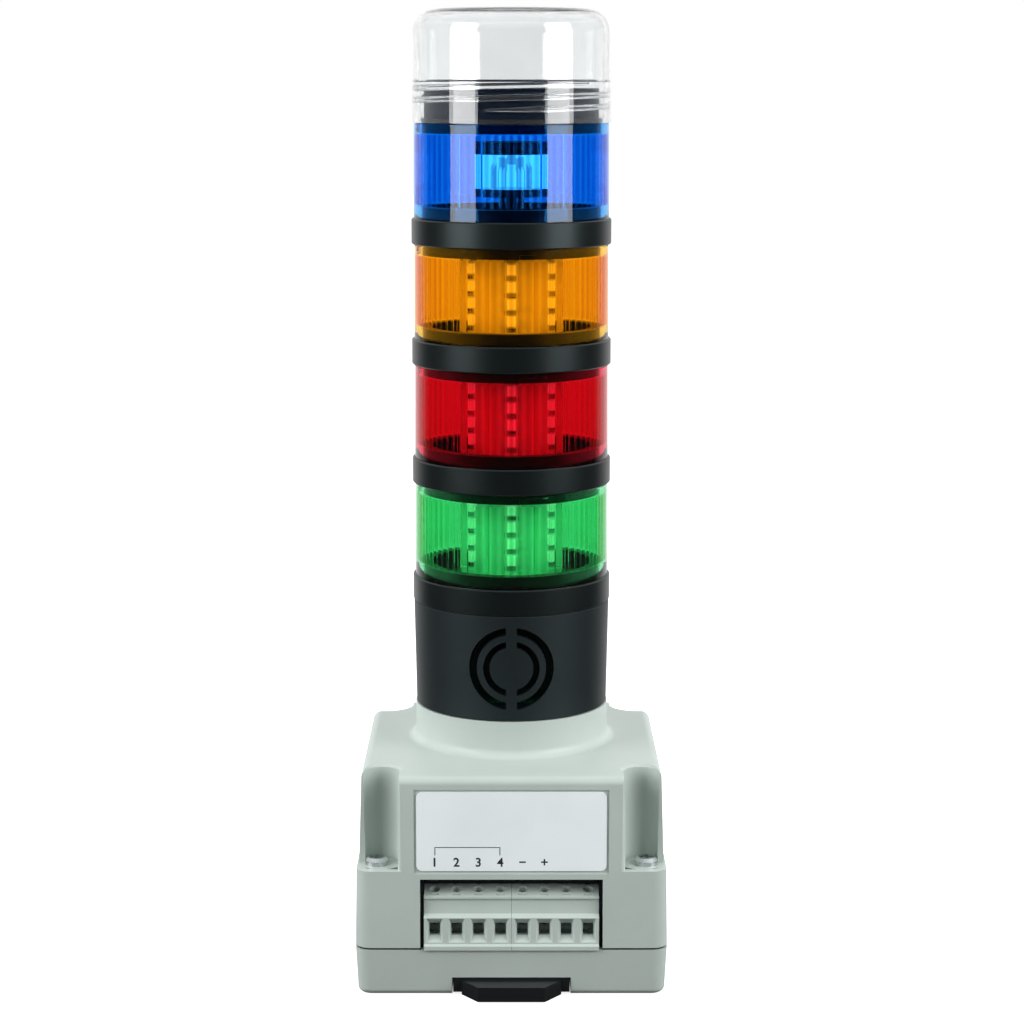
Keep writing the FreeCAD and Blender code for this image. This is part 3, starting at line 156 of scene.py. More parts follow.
class StackLightDetail(bpy.types.PropertyGroup):
    """Sizes of the fine detail."""

    thread_pitch: length("Thread pitch", "Rise of the cap's and the neck's thread in a turn", 0.004)
    thread_height: length("Thread height", "Height of the thread's ridge above its wall", 0.00085)
    seal_way: length("Seal way", "Height above the cap's foot left free for the lifting seal", 0.0067)
    spring_wire: length("Spring wire", "Diameter of the latch spring's wire", 0.0005)
    spring_turns: IntProperty(name="Spring turns", description="Turns of the latch spring",
                              default=9, min=3)
    web_foot: length("Web foot", "Height of the foot of the channels' webs", 0.044)
    web_top: length("Web top", "Height of the top of the channels' webs", 0.0745)
    web_place: length("Web place", "Distance of a web's outer face from the middle, at its foot", 0.03877)
    web_draft: angle("Web draft", "Lean of a web towards the middle as it rises", 1.0)
    web_front: length("Web front", "Distance of a web's front edge before the tower's axis", 0.0561)
    web_rear: length("Web rear", "Distance of a web's rear edge before the tower's axis", 0.0522)
    web_thickness: length("Web thickness", "Thickness of the channels' webs", 0.0015)
    digit_height: length("Digit height", "Height of the label's numbers", 0.0043)
    digit_level: length("Digit level", "Middle of the numbers above the label's foot", 0.0029)
    bracket_level: length("Bracket level", "Height of the bracket line above the label's foot", 0.0084)
    bracket_drop: length("Bracket drop", "Length of the bracket's two end strokes", 0.0029)
    print_line: length("Print line", "Width of the bracket's line", 0.00028)


class StackLightColours(bpy.types.PropertyGroup):
    """Colours of the plastics, films, metals and lenses."""

    housing: colour("Housing", "Grey plastic of the terminal base", (0.485, 0.555, 0.52))
    plug: colour("Plugs", "Grey plastic of the terminal plugs", (0.50, 0.575, 0.535))
    black: colour("Rings", "Black plastic of the base rings and inner parts", (0.003, 0.0046, 0.0048))
    latch_black: colour("Latch", "Black plastic of the latch and the flash carrier", (0.007, 0.009, 0.0095))
    satin_black: colour("Sounder", "Satin black plastic of the sounder", (0.0045, 0.0075, 0.0088))
    neck_black: colour("Neck", "Black plastic of the threaded neck", (0.004, 0.011, 0.026))
    rubber: colour("Seals", "Rubber of the gasket and the cap's seal", (0.02, 0.021, 0.021))
    label: colour("Label", "White film of the label", (0.89, 0.955, 0.965))
    ink: colour("Ink", "Ink of the numbers and the bracket line", (0.02, 0.021, 0.024))
    white: colour("Carriers", "White plastic of the light carriers", (0.88, 0.89, 0.87))
    emitter: colour("Emitters", "Yellowish face of the light emitters", (0.95, 0.94, 0.86))
    zinc: colour("Zinc", "Plating of the screws, the clamps and the spring", (0.60, 0.65, 0.66))
    brass: colour("Brass", "Brass of the contacts and the pins", (0.78, 0.58, 0.26))
    cap: colour("Cap", "Clear resin of the cap", (0.953, 0.968, 0.973))
    flash_tube: colour("Flash tube", "Glass of the flash tube", (0.03, 0.045, 0.07))
    flash_cover: colour("Flash cover", "Clear cover over the flash tube", (0.96, 0.98, 0.985))
    green_lens: colour("Green lens", "Green resin", (0.20, 0.83, 0.41))
    red_lens: colour("Red lens", "Red resin", (0.82, 0.036, 0.085))
    amber_lens: colour("Amber lens", "Amber resin", (0.96, 0.57, 0.035))
    blue_lens: colour("Blue lens", "Blue resin", (0.045, 0.40, 0.90))


class StackLightStudio(bpy.types.PropertyGroup):
    """Camera and light of the studio."""

    camera_side: length("Camera side", "Distance of the camera to the right of the middle", 0.0002)
    camera_distance: length("Camera distance", "Distance of the camera before the tower's axis", 0.862)
    camera_height: length("Camera height", "Height of the camera", 0.309)
    aim_height: length("Aim height", "Height of the point on the tower's axis that the camera faces", 0.168)
    focal_length: FloatProperty(name="Focal length", description="Focal length of the camera's lens",
                                default=86.3, unit="CAMERA")
    frame_shift: FloatProperty(name="Frame shift", description="Upward shift of the lens, in picture widths",
                               default=-0.027)
    strip_azimuth: angle("Strip azimuth", "Bearing of each strip light from the front", 58.0)
    strip_distance: length("Strip distance", "Distance of the side lights from the tower's axis", 1.0)
    strip_width: length("Strip width", "Width of the strip lights, and side of the low fills", 0.6)
    strip_height: length("Strip height", "Height of the strip lights", 0.75)
    strip_level: length("Strip level", "Height of the strip lights' middle", 0.577)
    strip_power: power("Strip power", "Power of each strip light", 9.0)
    fill_azimuth: angle("Fill azimuth", "Bearing of each low fill from the front", 84.0)
    fill_level: length("Fill level", "Height of the low fills' middle", 0.3)
    fill_power: power("Fill power", "Power of each low fill", 2.0)
    top_width: length("Top width", "Side of the square light above", 1.0)
    top_level: length("Top level", "Height of the light above", 1.6)
    top_power: power("Top power", "Power of the light above", 0.3)


# ------------------------------------------------------------------ node kit

class Tree:
    """A node tree with short calls to add and link nodes."""

    def __init__(self, tree):
        self.tree = tree
        self.tree.nodes.clear()

    def add(self, kind, inputs=None, **settings):
        """A node of a kind, with its settings and its inputs set or linked."""
        node = self.tree.nodes.new(kind)
        for name, value in settings.items():
            setattr(node, name, value)
        for name, value in (inputs or {}).items():
            self.feed(node.inputs[name], value)
        return node

    def feed(self, socket, value):
        """Link an output socket into a socket, or set a plain value."""
        if isinstance(value, bpy.types.NodeSocket):
            self.tree.links.new(value, socket)
        else:
            socket.default_value = value

    def math(self, operation, *values):
        """Result of a math node."""
        return self.add("ShaderNodeMath", dict(enumerate(values)), operation=operation).outputs[0]

    def mix(self, factor, first, second):
        """Blend of two colours."""
        return self.add("ShaderNodeMix", {0: factor, 6: first, 7: second}, data_type="RGBA").outputs[2]

    def choose(self, factor, first, second):
        """Blend of two values."""
        return self.add("ShaderNodeMix", {0: factor, 2: first, 3: second}).outputs[0]

    def scaled(self, vector, factor):
        """A colour or vector times a value."""
        return self.add("ShaderNodeVectorMath", {0: vector, "Scale": factor}, operation="SCALE").outputs[0]

    def split(self, vector):
        """X, Y and Z of a vector."""
        return self.add("ShaderNodeSeparateXYZ", {"Vector": vector}).outputs

    def place(self):
        """Object coordinates."""
        return self.add("ShaderNodeTexCoord").outputs["Object"]

    def noise(self, vector, scale, detail=2.0, roughness=0.5):
        """Noise value at a scale per metre."""
        inputs = {"Vector": vector, "Scale": scale, "Detail": detail, "Roughness": roughness}
        return self.add("ShaderNodeTexNoise", inputs).outputs["Fac"]

    def remap(self, value, low, high, to_low, to_high):
        """Value moved linearly from one range to another, and held there."""
        return self.add("ShaderNodeMapRange", {0: value, 1: low, 2: high, 3: to_low, 4: to_high}).outputs[0]

    def vary(self, noise, low, high, span=NOISE_CORE):
        """Noise value moved from its usual span to another."""
        return self.remap(noise, *span, low, high)

    def ramp(self, value, low, high, top=1.0):
        """Nothing up to low, then a rise to the top value at high."""
        return self.remap(value, low, high, 0.0, top)

    def bump(self, height, relief, strength):
        """Normal bent by a height pattern."""
        inputs = {"Height": height, "Distance": relief, "Strength": strength}
        return self.add("ShaderNodeBump", inputs).outputs[0]

    def surface(self, colour, roughness, normal):
        """A plain shader of a colour, a roughness and a normal."""
        inputs = {"Base Color": colour, "Roughness": roughness, "Normal": normal}
        return self.add("ShaderNodeBsdfPrincipled", inputs)

    def end(self, kind, shader):
        """The tree's output node, fed by a shader."""
        self.add(kind, {"Surface": shader.outputs[0]})


def new_skin(name, **values):
    """A skin group: a colour, a roughness and named values in; colour, roughness and normal out."""
    group = bpy.data.node_groups.new(name, "ShaderNodeTree")
    given = {"Color": (0.5, 0.5, 0.5, 1), "Roughness": 0.4, **values}
    for title, value in given.items():
        kind = "NodeSocketColor" if title == "Color" else "NodeSocketFloat"
        group.interface.new_socket(title, in_out="INPUT", socket_type=kind).default_value = value
    for title, kind in (("Color", "Color"), ("Roughness", "Float"), ("Normal", "Vector")):
        group.interface.new_socket(title, in_out="OUTPUT", socket_type=f"NodeSocket{kind}")
    tree = Tree(group)
    return group, tree, tree.add("NodeGroupInput").outputs


def end_skin(tree, colour, roughness, normal):
    """Link a skin group's results."""
    tree.add("NodeGroupOutput", {"Color": colour, "Roughness": roughness, "Normal": normal})


def moulded_skin():
    """Group: spark-eroded moulded plastic, with clouds of tone and a fine grain."""
    group, tree, given = new_skin("Moulded skin", Grain=2600.0, Depth=0.12)
    place = tree.place()
    cloud = tree.noise(place, CLOUD_SCALE, 3.0)
    grain = tree.noise(place, given["Grain"], 2.0, 0.6)
    shade = tree.math("MULTIPLY", tree.vary(cloud, 0.965, 1.03), tree.vary(grain, 0.975, 1.02))
    rough = tree.math("ADD", given["Roughness"], tree.vary(grain, -0.05, 0.05, NOISE_SPAN))
    rough = tree.math("ADD", rough, tree.vary(cloud, -0.03, 0.03, NOISE_SPAN))
    bump = tree.bump(grain, GRAIN_RELIEF, given["Depth"])
    end_skin(tree, tree.scaled(given["Color"], shade), rough, bump)
    return group


def metal_skin():
    """Group: plated metal, with blotches and fine turning marks."""
    group, tree, given = new_skin("Metal skin", Depth=0.1)
    place = tree.place()
    blotch = tree.noise(place, BLOTCH_SCALE, 3.0)
    marks = tree.noise(place, TURNING_SCALE, 2.0)
    shade = tree.math("MULTIPLY", tree.vary(blotch, 0.86, 1.08), tree.vary(marks, 0.94, 1.05))
    rough = tree.math("ADD", given["Roughness"], tree.vary(blotch, -0.08, 0.1, NOISE_SPAN))
    bump = tree.bump(marks, TURNING_RELIEF, given["Depth"])
    end_skin(tree, tree.scaled(given["Color"], shade), rough, bump)
    return group


def resin_skin():
    """Group: clear moulded resin, with faint flow waves."""
    group, tree, given = new_skin("Resin skin", Wave=0.05)
    flow = tree.noise(tree.place(), FLOW_SCALE, 2.0)
    rough = tree.math("ADD", given["Roughness"], tree.vary(flow, 0.0, 0.02))
    bump = tree.bump(flow, FLOW_RELIEF, given["Wave"])
    end_skin(tree, tree.scaled(given["Color"], tree.vary(flow, 0.97, 1.0)), rough, bump)
    return group


def fluted_skin():
    """Group: resin whose tint follows cos(FLUTES angle), deep where the flutes make the wall thick."""
    group, tree, given = new_skin("Fluted resin skin", Foot=0.0, Top=1.0, Depth=0.5)
    place = tree.place()
    spot = tree.split(place)
    bearing = tree.math("ARCTAN2", spot["Y"], spot["X"])
    wave = tree.math("COSINE", tree.math("MULTIPLY", bearing, FLUTES))
    ridge = tree.ramp(wave, -0.6, 1.0)
    above = tree.math("GREATER_THAN", spot["Z"], given["Foot"])
    below = tree.math("LESS_THAN", spot["Z"], given["Top"])
    thick = tree.math("MULTIPLY", tree.math("MULTIPLY", above, below), ridge)
    round_lens = tree.add("ShaderNodeCombineXYZ", {"X": bearing}).outputs[0]
    uneven = tree.vary(tree.noise(round_lens, 9.0), 0.55, 1.1)
    thick = tree.math("MULTIPLY", tree.math("MULTIPLY", thick, uneven), given["Depth"])
    clear = given["Color"]
    squared = tree.add("ShaderNodeVectorMath", {0: clear, 1: clear}, operation="MULTIPLY").outputs[0]
    flow = tree.noise(place, FLOW_SCALE, 2.0)
    rough = tree.math("ADD", given["Roughness"], tree.vary(flow, 0.0, 0.02))
    bump = tree.bump(flow, FLOW_RELIEF, 0.03)
    end_skin(tree, tree.mix(thick, clear, tree.scaled(squared, 0.8)), rough, bump)
    return group


def new_material(name):
    """A material and its empty tree."""
    material = bpy.data.materials.new(name)
    material.use_nodes = True
    return material, Tree(material.node_tree)


def skinned(name, group, skin, **shader):
    """A material whose colour, roughness and normal come from a skin group."""
    material, tree = new_material(name)
    outputs = tree.add("ShaderNodeGroup", skin, node_tree=group).outputs
    surface = tree.surface(outputs["Color"], outputs["Roughness"], outputs["Normal"])
    for title, value in shader.items():
        surface.inputs[title.replace("_", " ")].default_value = value
    tree.end("ShaderNodeOutputMaterial", surface)
    return material


def board_material():
    """Circuit board: solder mask over faint copper tracks on a square grid."""
    material, tree = new_material("Circuit board")
    place = tree.place()
    cells = tree.add("ShaderNodeTexVoronoi", {"Vector": place, "Scale": TRACK_SCALE}, distance="MANHATTAN")
    tracks = tree.ramp(cells.outputs["Distance"], 0.28, 0.34)
    shade = tree.mix(tracks, (0.05, 0.24, 0.12, 1), (0.02, 0.13, 0.065, 1))
    rough = tree.vary(tree.noise(place, 900.0), 0.25, 0.4)
    tree.end("ShaderNodeOutputMaterial", tree.surface(shade, rough, tree.bump(tracks, TRACK_RELIEF, 0.4)))
    return material


def led_board_material(word):
    """White solder mask, with a row of small dark components midway between the emitters of each column."""
    material, tree = new_material(f"White circuit board {word}")
    low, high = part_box(f"{word}_leds")
    pitch = (high.z - low.z) / (LED_ROWS - 1 + LED_SHARE)
    place = tree.place()
    spot = tree.split(place)
    row = tree.math("FRACT", tree.math("DIVIDE", tree.math("SUBTRACT", spot["Z"], low.z), pitch))
    off = tree.math("ABSOLUTE", tree.math("SUBTRACT", row, (1 + LED_SHARE) / 2))
    side = 2 * math.pi / LED_COLUMNS
    bearing = tree.math("ARCTAN2", spot["X"], tree.math("MULTIPLY", spot["Y"], -1.0))
    nearest = tree.math("ROUND", tree.math("DIVIDE", bearing, side))
    turn = tree.math("SUBTRACT", bearing, tree.math("MULTIPLY", nearest, side))
    squares = [tree.math("POWER", spot[axis], 2.0) for axis in ("X", "Y")]
    reach = tree.math("SQRT", tree.math("ADD", *squares))
    across = tree.math("ABSOLUTE", tree.math("MULTIPLY", reach, tree.math("SINE", turn)))
    between = tree.math("MULTIPLY", tree.remap(off, 0.12, 0.15, 1.0, 0.0),
                        tree.remap(across, COLUMN_HALF, COLUMN_HALF + 0.0002, 1.0, 0.0))
    cells = tree.add("ShaderNodeTexVoronoi", {"Vector": place, "Scale": COMPONENT_SCALE, "Randomness": 0.3},
                     distance="CHEBYCHEV")
    pick = tree.add("ShaderNodeSeparateColor", {"Color": cells.outputs["Color"]}).outputs["Red"]
    inside = tree.remap(cells.outputs["Distance"], 0.30, 0.36, 1.0, 0.0)
    part = tree.math("MULTIPLY", tree.math("MULTIPLY", inside, tree.ramp(pick, 0.4, 0.42)), between)
    mask = tree.mix(tree.noise(place, 300.0), (0.66, 0.67, 0.65, 1), (0.80, 0.81, 0.78, 1))
    mask = tree.mix(between, mask, (0.30, 0.30, 0.28, 1))
    shade = tree.mix(part, mask, (0.03, 0.03, 0.028, 1))
    rough = tree.remap(part, 0.0, 1.0, 0.35, 0.5)
    tree.end("ShaderNodeOutputMaterial", tree.surface(shade, rough, tree.bump(part, COMPONENT_RELIEF, 0.5)))
    return material


def make_materials(colours):
    """All materials by name."""
    plastic, metal, resin, fluted = moulded_skin(), metal_skin(), resin_skin(), fluted_skin()

    def moulded(title, tint, roughness, grain, depth, **shader):
        skin = {"Color": (*tint, 1), "Roughness": roughness, "Grain": grain, "Depth": depth}
        return skinned(title, plastic, skin, **shader)

    def plated(title, tint, roughness, depth):
        skin = {"Color": (*tint, 1), "Roughness": roughness, "Depth": depth}
        return skinned(title, metal, skin, Metallic=1.0)

    def clear(title, tint, roughness, wave, **shader):
        skin = {"Color": (*tint, 1), "Roughness": roughness, "Wave": wave}
        return skinned(title, resin, skin, Transmission_Weight=1.0, **shader)

    def lens(word):
        low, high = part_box(f"{word}_lens")
        skin = {"Color": (*getattr(colours, f"{word}_lens"), 1), "Roughness": 0.04, "Depth": 0.7,
                "Foot": low.z + FLUTE_FOOT, "Top": high.z - FLUTE_TOP}
        return skinned(f"{word.capitalize()} lens resin", fluted, skin, Transmission_Weight=1.0, IOR=1.05,
                       Coat_Weight=0.75, Coat_Roughness=0.03, Coat_IOR=1.5)

    cool = (0.8, 0.98, 1.0, 1)
    return {
        "housing": moulded("Grey housing", colours.housing, 0.42, 2600.0, 0.10),
        "plug": moulded("Grey plug", colours.plug, 0.40, 3200.0, 0.05),
        "black": moulded("Black plastic", colours.black, 0.34, 2400.0, 0.16,
                         Specular_IOR_Level=0.4, Specular_Tint=cool),
        "latch_black": moulded("Black latch plastic", colours.latch_black, 0.36, 1800.0, 0.12),
        "satin_black": moulded("Satin black plastic", colours.satin_black, 0.46, 2400.0, 0.16,
                               Specular_IOR_Level=0.56, Specular_Tint=cool),
        "neck_black": moulded("Neck plastic", colours.neck_black, 0.45, 2400.0, 0.1,
                              Specular_IOR_Level=0.12),
        "rubber": moulded("Seal rubber", colours.rubber, 0.7, 2200.0, 0.2),
        "label": moulded("Label film", colours.label, 0.34, 5200.0, 0.03),
        "ink": moulded("Printing ink", colours.ink, 0.5, 5200.0, 0.05),
        "white": moulded("White plastic", colours.white, 0.45, 2600.0, 0.06),
        # Painted glow: the emitters are unlit, and their emission stands in for light falling on them
        # through the lens.
        "led": moulded("Light emitter with painted glow", colours.emitter, 0.3, 5000.0, 0.04,
                       Emission_Color=(1.0, 0.96, 0.86, 1), Emission_Strength=0.35),
        "zinc": plated("Zinc plate", colours.zinc, 0.27, 0.14),
        "brass": plated("Contact brass", colours.brass, 0.28, 0.08),
        "cap": clear("Clear cap resin", colours.cap, 0.012, 0.03, IOR=1.22,
                     Coat_Weight=1.0, Coat_Roughness=0.012, Coat_IOR=1.5),
        "tube": clear("Flash tube glass", colours.flash_tube, 0.05, 0.01, IOR=1.2),
        # Painted glow: the flash is off, and the cover's emission stands in for light reaching it through
        # the cap and the lens.
        "cover": clear("Flash cover", colours.flash_cover, 0.12, 0.05, IOR=1.1,
                       Emission_Color=(0.9, 1.0, 1.0, 1), Emission_Strength=0.4),
        **{word: lens(word) for word in (*LIGHTS, "blue")},
        "board": board_material(),
        **{f"led_board_{word}": led_board_material(word) for word in LIGHTS},
    }


MATERIALS = {}

NODE_MATERIAL = {
    "upper_housing": "housing", "lower_tray": "housing", "label_plate": "label",
    "housing_screws": "zinc", "housing_gasket": "rubber", "latch_spring": "zinc",
    "base_board": "board", "harness_connector": "white", "tower_harness": "black",
    "tower_socket": "black", "tower_contact_ring": "brass", "terminal_header": "black",
    "header_pins": "brass", "din_latch": "latch_black",
    "terminal_plug_left": "plug", "terminal_plug_right": "plug",
    "clamp_screws_left": "zinc", "clamp_screws_right": "zinc",
    "wire_clamps_left": "zinc", "wire_clamps_right": "zinc",
    "sounder_housing": "satin_black", "sounder_disc": "black", "sounder_board": "board",
    "sounder_core": "black", "sounder_contacts": "brass",
    "blue_base_ring": "black", "blue_lens": "blue", "blue_board": "board",
    "blue_contacts": "brass", "strobe_carrier": "latch_black", "strobe_reflector": "latch_black",
    "strobe_tube": "tube", "strobe_cover": "cover",
    "threaded_ring": "neck_black", "dome_seal": "rubber", "dome_cap": "cap",
}


def light_module_materials(word):
    """Materials of one steady light module's nodes."""
    return {
        f"{word}_base_ring": "black", f"{word}_lens": word, f"{word}_board": "board",
        f"{word}_led_carrier": "white", f"{word}_led_boards": f"led_board_{word}",
        f"{word}_leds": "led", f"{word}_contacts": "brass",
    }


# ----------------------------------------------------------------- mesh kit

def mesh_object(name, points, faces, material, body, smooth=True):
    """An object from points and faces that rides on a body, if one is named."""
    mesh = bpy.data.meshes.new(name)
    mesh.from_pydata([tuple(point) for point in np.asarray(points, float)], [], faces)
    mesh.validate()
    mesh.update()
    if smooth:
        mesh.shade_smooth()
    mesh.materials.append(material)
    obj = in_scene(name, mesh)
    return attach(obj, body) if body else obj


def in_scene(name, data):
    """An object of some data, linked into the scene."""
    obj = bpy.data.objects.new(name, data)
    bpy.context.scene.collection.objects.link(obj)
    return obj


def tube_faces(rows, columns):
    """Quads of a closed tube of sections stored row by row, with a face over each end."""
    faces = []
    for row in range(rows - 1):
        a, b = row * columns, (row + 1) * columns
        for c in range(columns):
            d = (c + 1) % columns
            faces.append((a + c, a + d, b + d, b + c))
    faces.append(tuple(range(columns))[::-1])
    faces.append(tuple((rows - 1) * columns + column for column in range(columns)))
    return faces


# ------------------------------------------------------------------- pieces

def dress_nodes(colours):
    """Give every CAD node its material."""
    MATERIALS.update(make_materials(colours))
    table = dict(NODE_MATERIAL)
    for word in LIGHTS:
        table.update(light_module_materials(word))
    missing = sorted(set(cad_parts) - set(table))
    if missing:
        raise RuntimeError(f"no material is named for {missing}")
    for name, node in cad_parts.items():
        material = MATERIALS[table[name]]
        if not node.material_slots:
            node.data.materials.append(material)
        for slot in node.material_slots:
            slot.material = material


def make_spring(detail):
    """Coil of round wire: centre (R cos t, y, z + R sin t), y rising with t, slower in the end turns."""
    low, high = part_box("latch_spring")
    wire = detail.spring_wire / 2
    radius = (high.x - low.x) / 2 - wire
    turns = detail.spring_turns
    t = np.linspace(0, 2 * math.pi * turns, turns * SPRING_STEPS + 1)
    rise = np.interp(t, [0, 2 * math.pi, t[-1] - 2 * math.pi, t[-1]],
                     [low.y + wire, low.y + 3 * wire, high.y - 3 * wire, high.y - wire])
    middle = (low.z + high.z) / 2
    out = np.stack([np.cos(t), np.zeros_like(t), np.sin(t)], 1)
    axis = np.stack([np.full_like(t, (low.x + high.x) / 2), rise, np.full_like(t, middle)], 1)
    centres = out * radius + axis
    turn = np.linspace(0, 2 * math.pi, WIRE_SIDES, endpoint=False)
    section = np.stack([np.cos(turn) * wire, np.sin(turn) * wire], 1)
    points = (
        centres[:, None, :]
        + out[:, None, :] * section[None, :, 0, None]
        + np.array([0.0, 1.0, 0.0]) * section[None, :, 1, None]
    ).reshape(-1, 3)
    faces = tube_faces(len(t), WIRE_SIDES)
    obj = mesh_object("latch_coil_spring", points, faces, MATERIALS["zinc"], None)
    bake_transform(obj)
    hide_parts("latch_spring")


def make_webs(detail):
    """Web behind each front channel: a plate from x = place - rise tan(draft) to a thickness inwards."""
    levels = np.array([detail.web_foot, detail.web_top])
    outer = detail.web_place - (levels - levels[0]) * math.tan(detail.web_draft)
    inner = outer - detail.web_thickness
    corners = ((outer, detail.web_front), (outer, detail.web_rear),
               (inner, detail.web_rear), (inner, detail.web_front))
    for side, word in ((-1, "left"), (1, "right")):
        edges = [np.stack([x * side, np.full(2, -y), levels], 1) for x, y in corners[::side]]
        points = np.stack(edges, 1)
        web = mesh_object(f"channel_web_{word}", points.reshape(-1, 3), tube_faces(2, len(corners)),
                          MATERIALS["housing"], "base", smooth=False)


def helix_ridge(name, radius, height, low, high, phase, pitch, material, body):
    """Thread ridge: z = low + pitch t / 2 pi at bearing t + phase on a radius, of a rounded V section."""
    turns = (high - low) / pitch
    t = np.linspace(0, 2 * math.pi * turns, int(turns * THREAD_STEPS) + 1)
    grow = np.clip(np.minimum(t, t[-1] - t) / THREAD_FADE, LEAST_HEIGHT, 1)
    out = np.stack([np.cos(t + phase), np.sin(t + phase), np.zeros_like(t)], 1)
    up = np.array([0.0, 0.0, 1.0])
    base = out * radius + up * (low + pitch * t / (2 * math.pi))[:, None]
    section = np.array(THREAD_SECTION) * (height, pitch * THREAD_FOOT)
    width = LEAST_WIDTH + (1 - LEAST_WIDTH) * grow
    points = (
        base[:, None, :]
        + out[:, None, :] * (section[None, :, 0, None] * grow[:, None, None])
        + up * (section[None, :, 1, None] * width[:, None, None])
    ).reshape(-1, 3)
    return mesh_object(name, points, tube_faces(len(t), len(section)), material, body)


def make_threads(detail):
    """Coarse right-hand threads of the neck and of the cap's skirt."""
    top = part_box("threaded_ring")[1].z
    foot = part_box("dome_cap")[0].z
    pitch, height = detail.thread_pitch, detail.thread_height
    neck = helix_ridge("neck_thread", NECK_RADIUS, height, foot + detail.seal_way, top - NECK_TOP_BAND,
                       0.0, pitch, MATERIALS["neck_black"], "neck")
    cap = helix_ridge("cap_thread", SKIRT_BORE, -height, foot + SKIRT_THREAD_FOOT, foot + SKIRT_THREAD_TOP,
                      SKIRT_THREAD_START, pitch, MATERIALS["cap"], "cap")


def print_text(name, text, height, matrix, body):
    """Plain lettering, centred on its own origin, made a flat mesh and then placed by a matrix."""
    curve = bpy.data.curves.new("lettering", "FONT")
    curve.body = text
    curve.size = height
    curve.align_x, curve.align_y = "CENTER", "CENTER"
    curve.offset = height * STROKE_SHARE
    curve.resolution_u = 6
    letters = in_scene("lettering", curve)
    bpy.context.view_layer.update()
    graph = bpy.context.evaluated_depsgraph_get()
    mesh = bpy.data.meshes.new_from_object(letters.evaluated_get(graph))
    bpy.data.objects.remove(letters)
    mesh.transform(matrix)
    mesh.name = name
    mesh.materials.clear()
    mesh.materials.append(MATERIALS["ink"])
    obj = in_scene(name, mesh)
    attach(obj, body)


def label_matrix(x, height):
    """Place on the label's front face: x from the tower's axis, height above the label's foot."""
    low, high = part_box("label_plate")
    rise = Vector((0, high.y - low.y - LABEL_THICKNESS, high.z - low.z)).normalized()
    across = Vector((1, 0, 0))
    out = across.cross(rise)
    place = Vector((x, low.y, low.z)) + rise * height + out * PRINT_LIFT
    return Matrix.Translation(place) @ Matrix((across, rise, out)).transposed().to_4x4()


def pole_places():
    """Middles of the eight poles across the front, from left to right."""
    places = []
    for side in ("left", "right"):
        low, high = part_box(f"terminal_plug_{side}")
        pitch = (high.x - low.x) / POLES_IN_PLUG
        places += [low.x + pitch * (index + 0.5) for index in range(POLES_IN_PLUG)]
    return places


def make_label(detail):
    """Plain terminal numbers, signs and a bracket, printed on the label."""
    places = pole_places()
    for index, text in enumerate(("1", "2", "3", "4", "\u2212", "+")):
        matrix = label_matrix(places[index], detail.digit_level)
        print_text(f"print_pole_{index + 1}", text, detail.digit_height, matrix, "base")
    first, last = places[0], places[POLES_IN_PLUG - 1]
    half, drop, line = (last - first) / 2, detail.bracket_drop, detail.print_line
    points = [(-half, -drop), (-half, 0), (half, 0), (half, -drop),
              (half - line, -drop), (half - line, -line), (line - half, -line), (line - half, -drop)]
    matrix = label_matrix((first + last) / 2, detail.bracket_level)
    spots = [matrix @ Vector((x, y, 0)) for x, y in points]
    faces = [(0, 7, 6, 1), (1, 6, 5, 2), (2, 5, 4, 3)]
    obj = mesh_object("print_bracket", spots, faces, MATERIALS["ink"], "base", smooth=False)


# -------------------------------------------------------------------- stage

def unmirrored(tree, rays):
    """1 for rays that nothing has mirrored yet, and else 0."""
    return tree.math("LESS_THAN", rays["Glossy Depth"], 0.5)


def let_through(tree, rays, behind):
    """Share of white for rays through clear resin: all of it, or once mirrored only from behind."""
    share = tree.math("MAXIMUM", unmirrored(tree, rays), tree.ramp(behind, -0.5, -0.1))
    return tree.math("MULTIPLY", rays["Is Transmission Ray"], share)


def make_floor():
    """Pale floor that keeps a soft shadow and runs out to white."""
    material, tree = new_material("Pale floor")
    rays = tree.add("ShaderNodeLightPath").outputs
    seen = rays["Is Camera Ray"]
    place = tree.place()
    bearing = tree.add("ShaderNodeVectorMath", {0: place}, operation="NORMALIZE").outputs[0]
    round_back = tree.split(bearing)["Y"]
    grey = tree.mix(seen, (0.05, 0.05, 0.05, 1), (0.62, 0.62, 0.62, 1))
    diffuse = tree.add("ShaderNodeBsdfDiffuse", {"Color": grey})
    soft = tree.ramp(tree.split(place)["Y"], 0.05, 0.4, 0.9)
    mirrored = tree.ramp(round_back, 0.45, 0.8, 0.9)
    back = tree.choose(rays["Is Glossy Ray"], soft, mirrored)
    back = tree.math("MAXIMUM", back, let_through(tree, rays, round_back))
    glow = tree.add("ShaderNodeEmission", {"Color": WHITE, "Strength": tree.choose(seen, back, 0.84)})
    both = tree.add("ShaderNodeAddShader", {0: diffuse.outputs[0], 1: glow.outputs[0]})
    tree.end("ShaderNodeOutputMaterial", both)
    points = [(x * FLOOR_HALF, y * FLOOR_HALF, FLOOR_LEVEL) for x, y in ((-1, -1), (1, -1), (1, 1), (-1, 1))]
    mesh_object("floor", points, [(0, 1, 2, 3)], material, None, smooth=False)


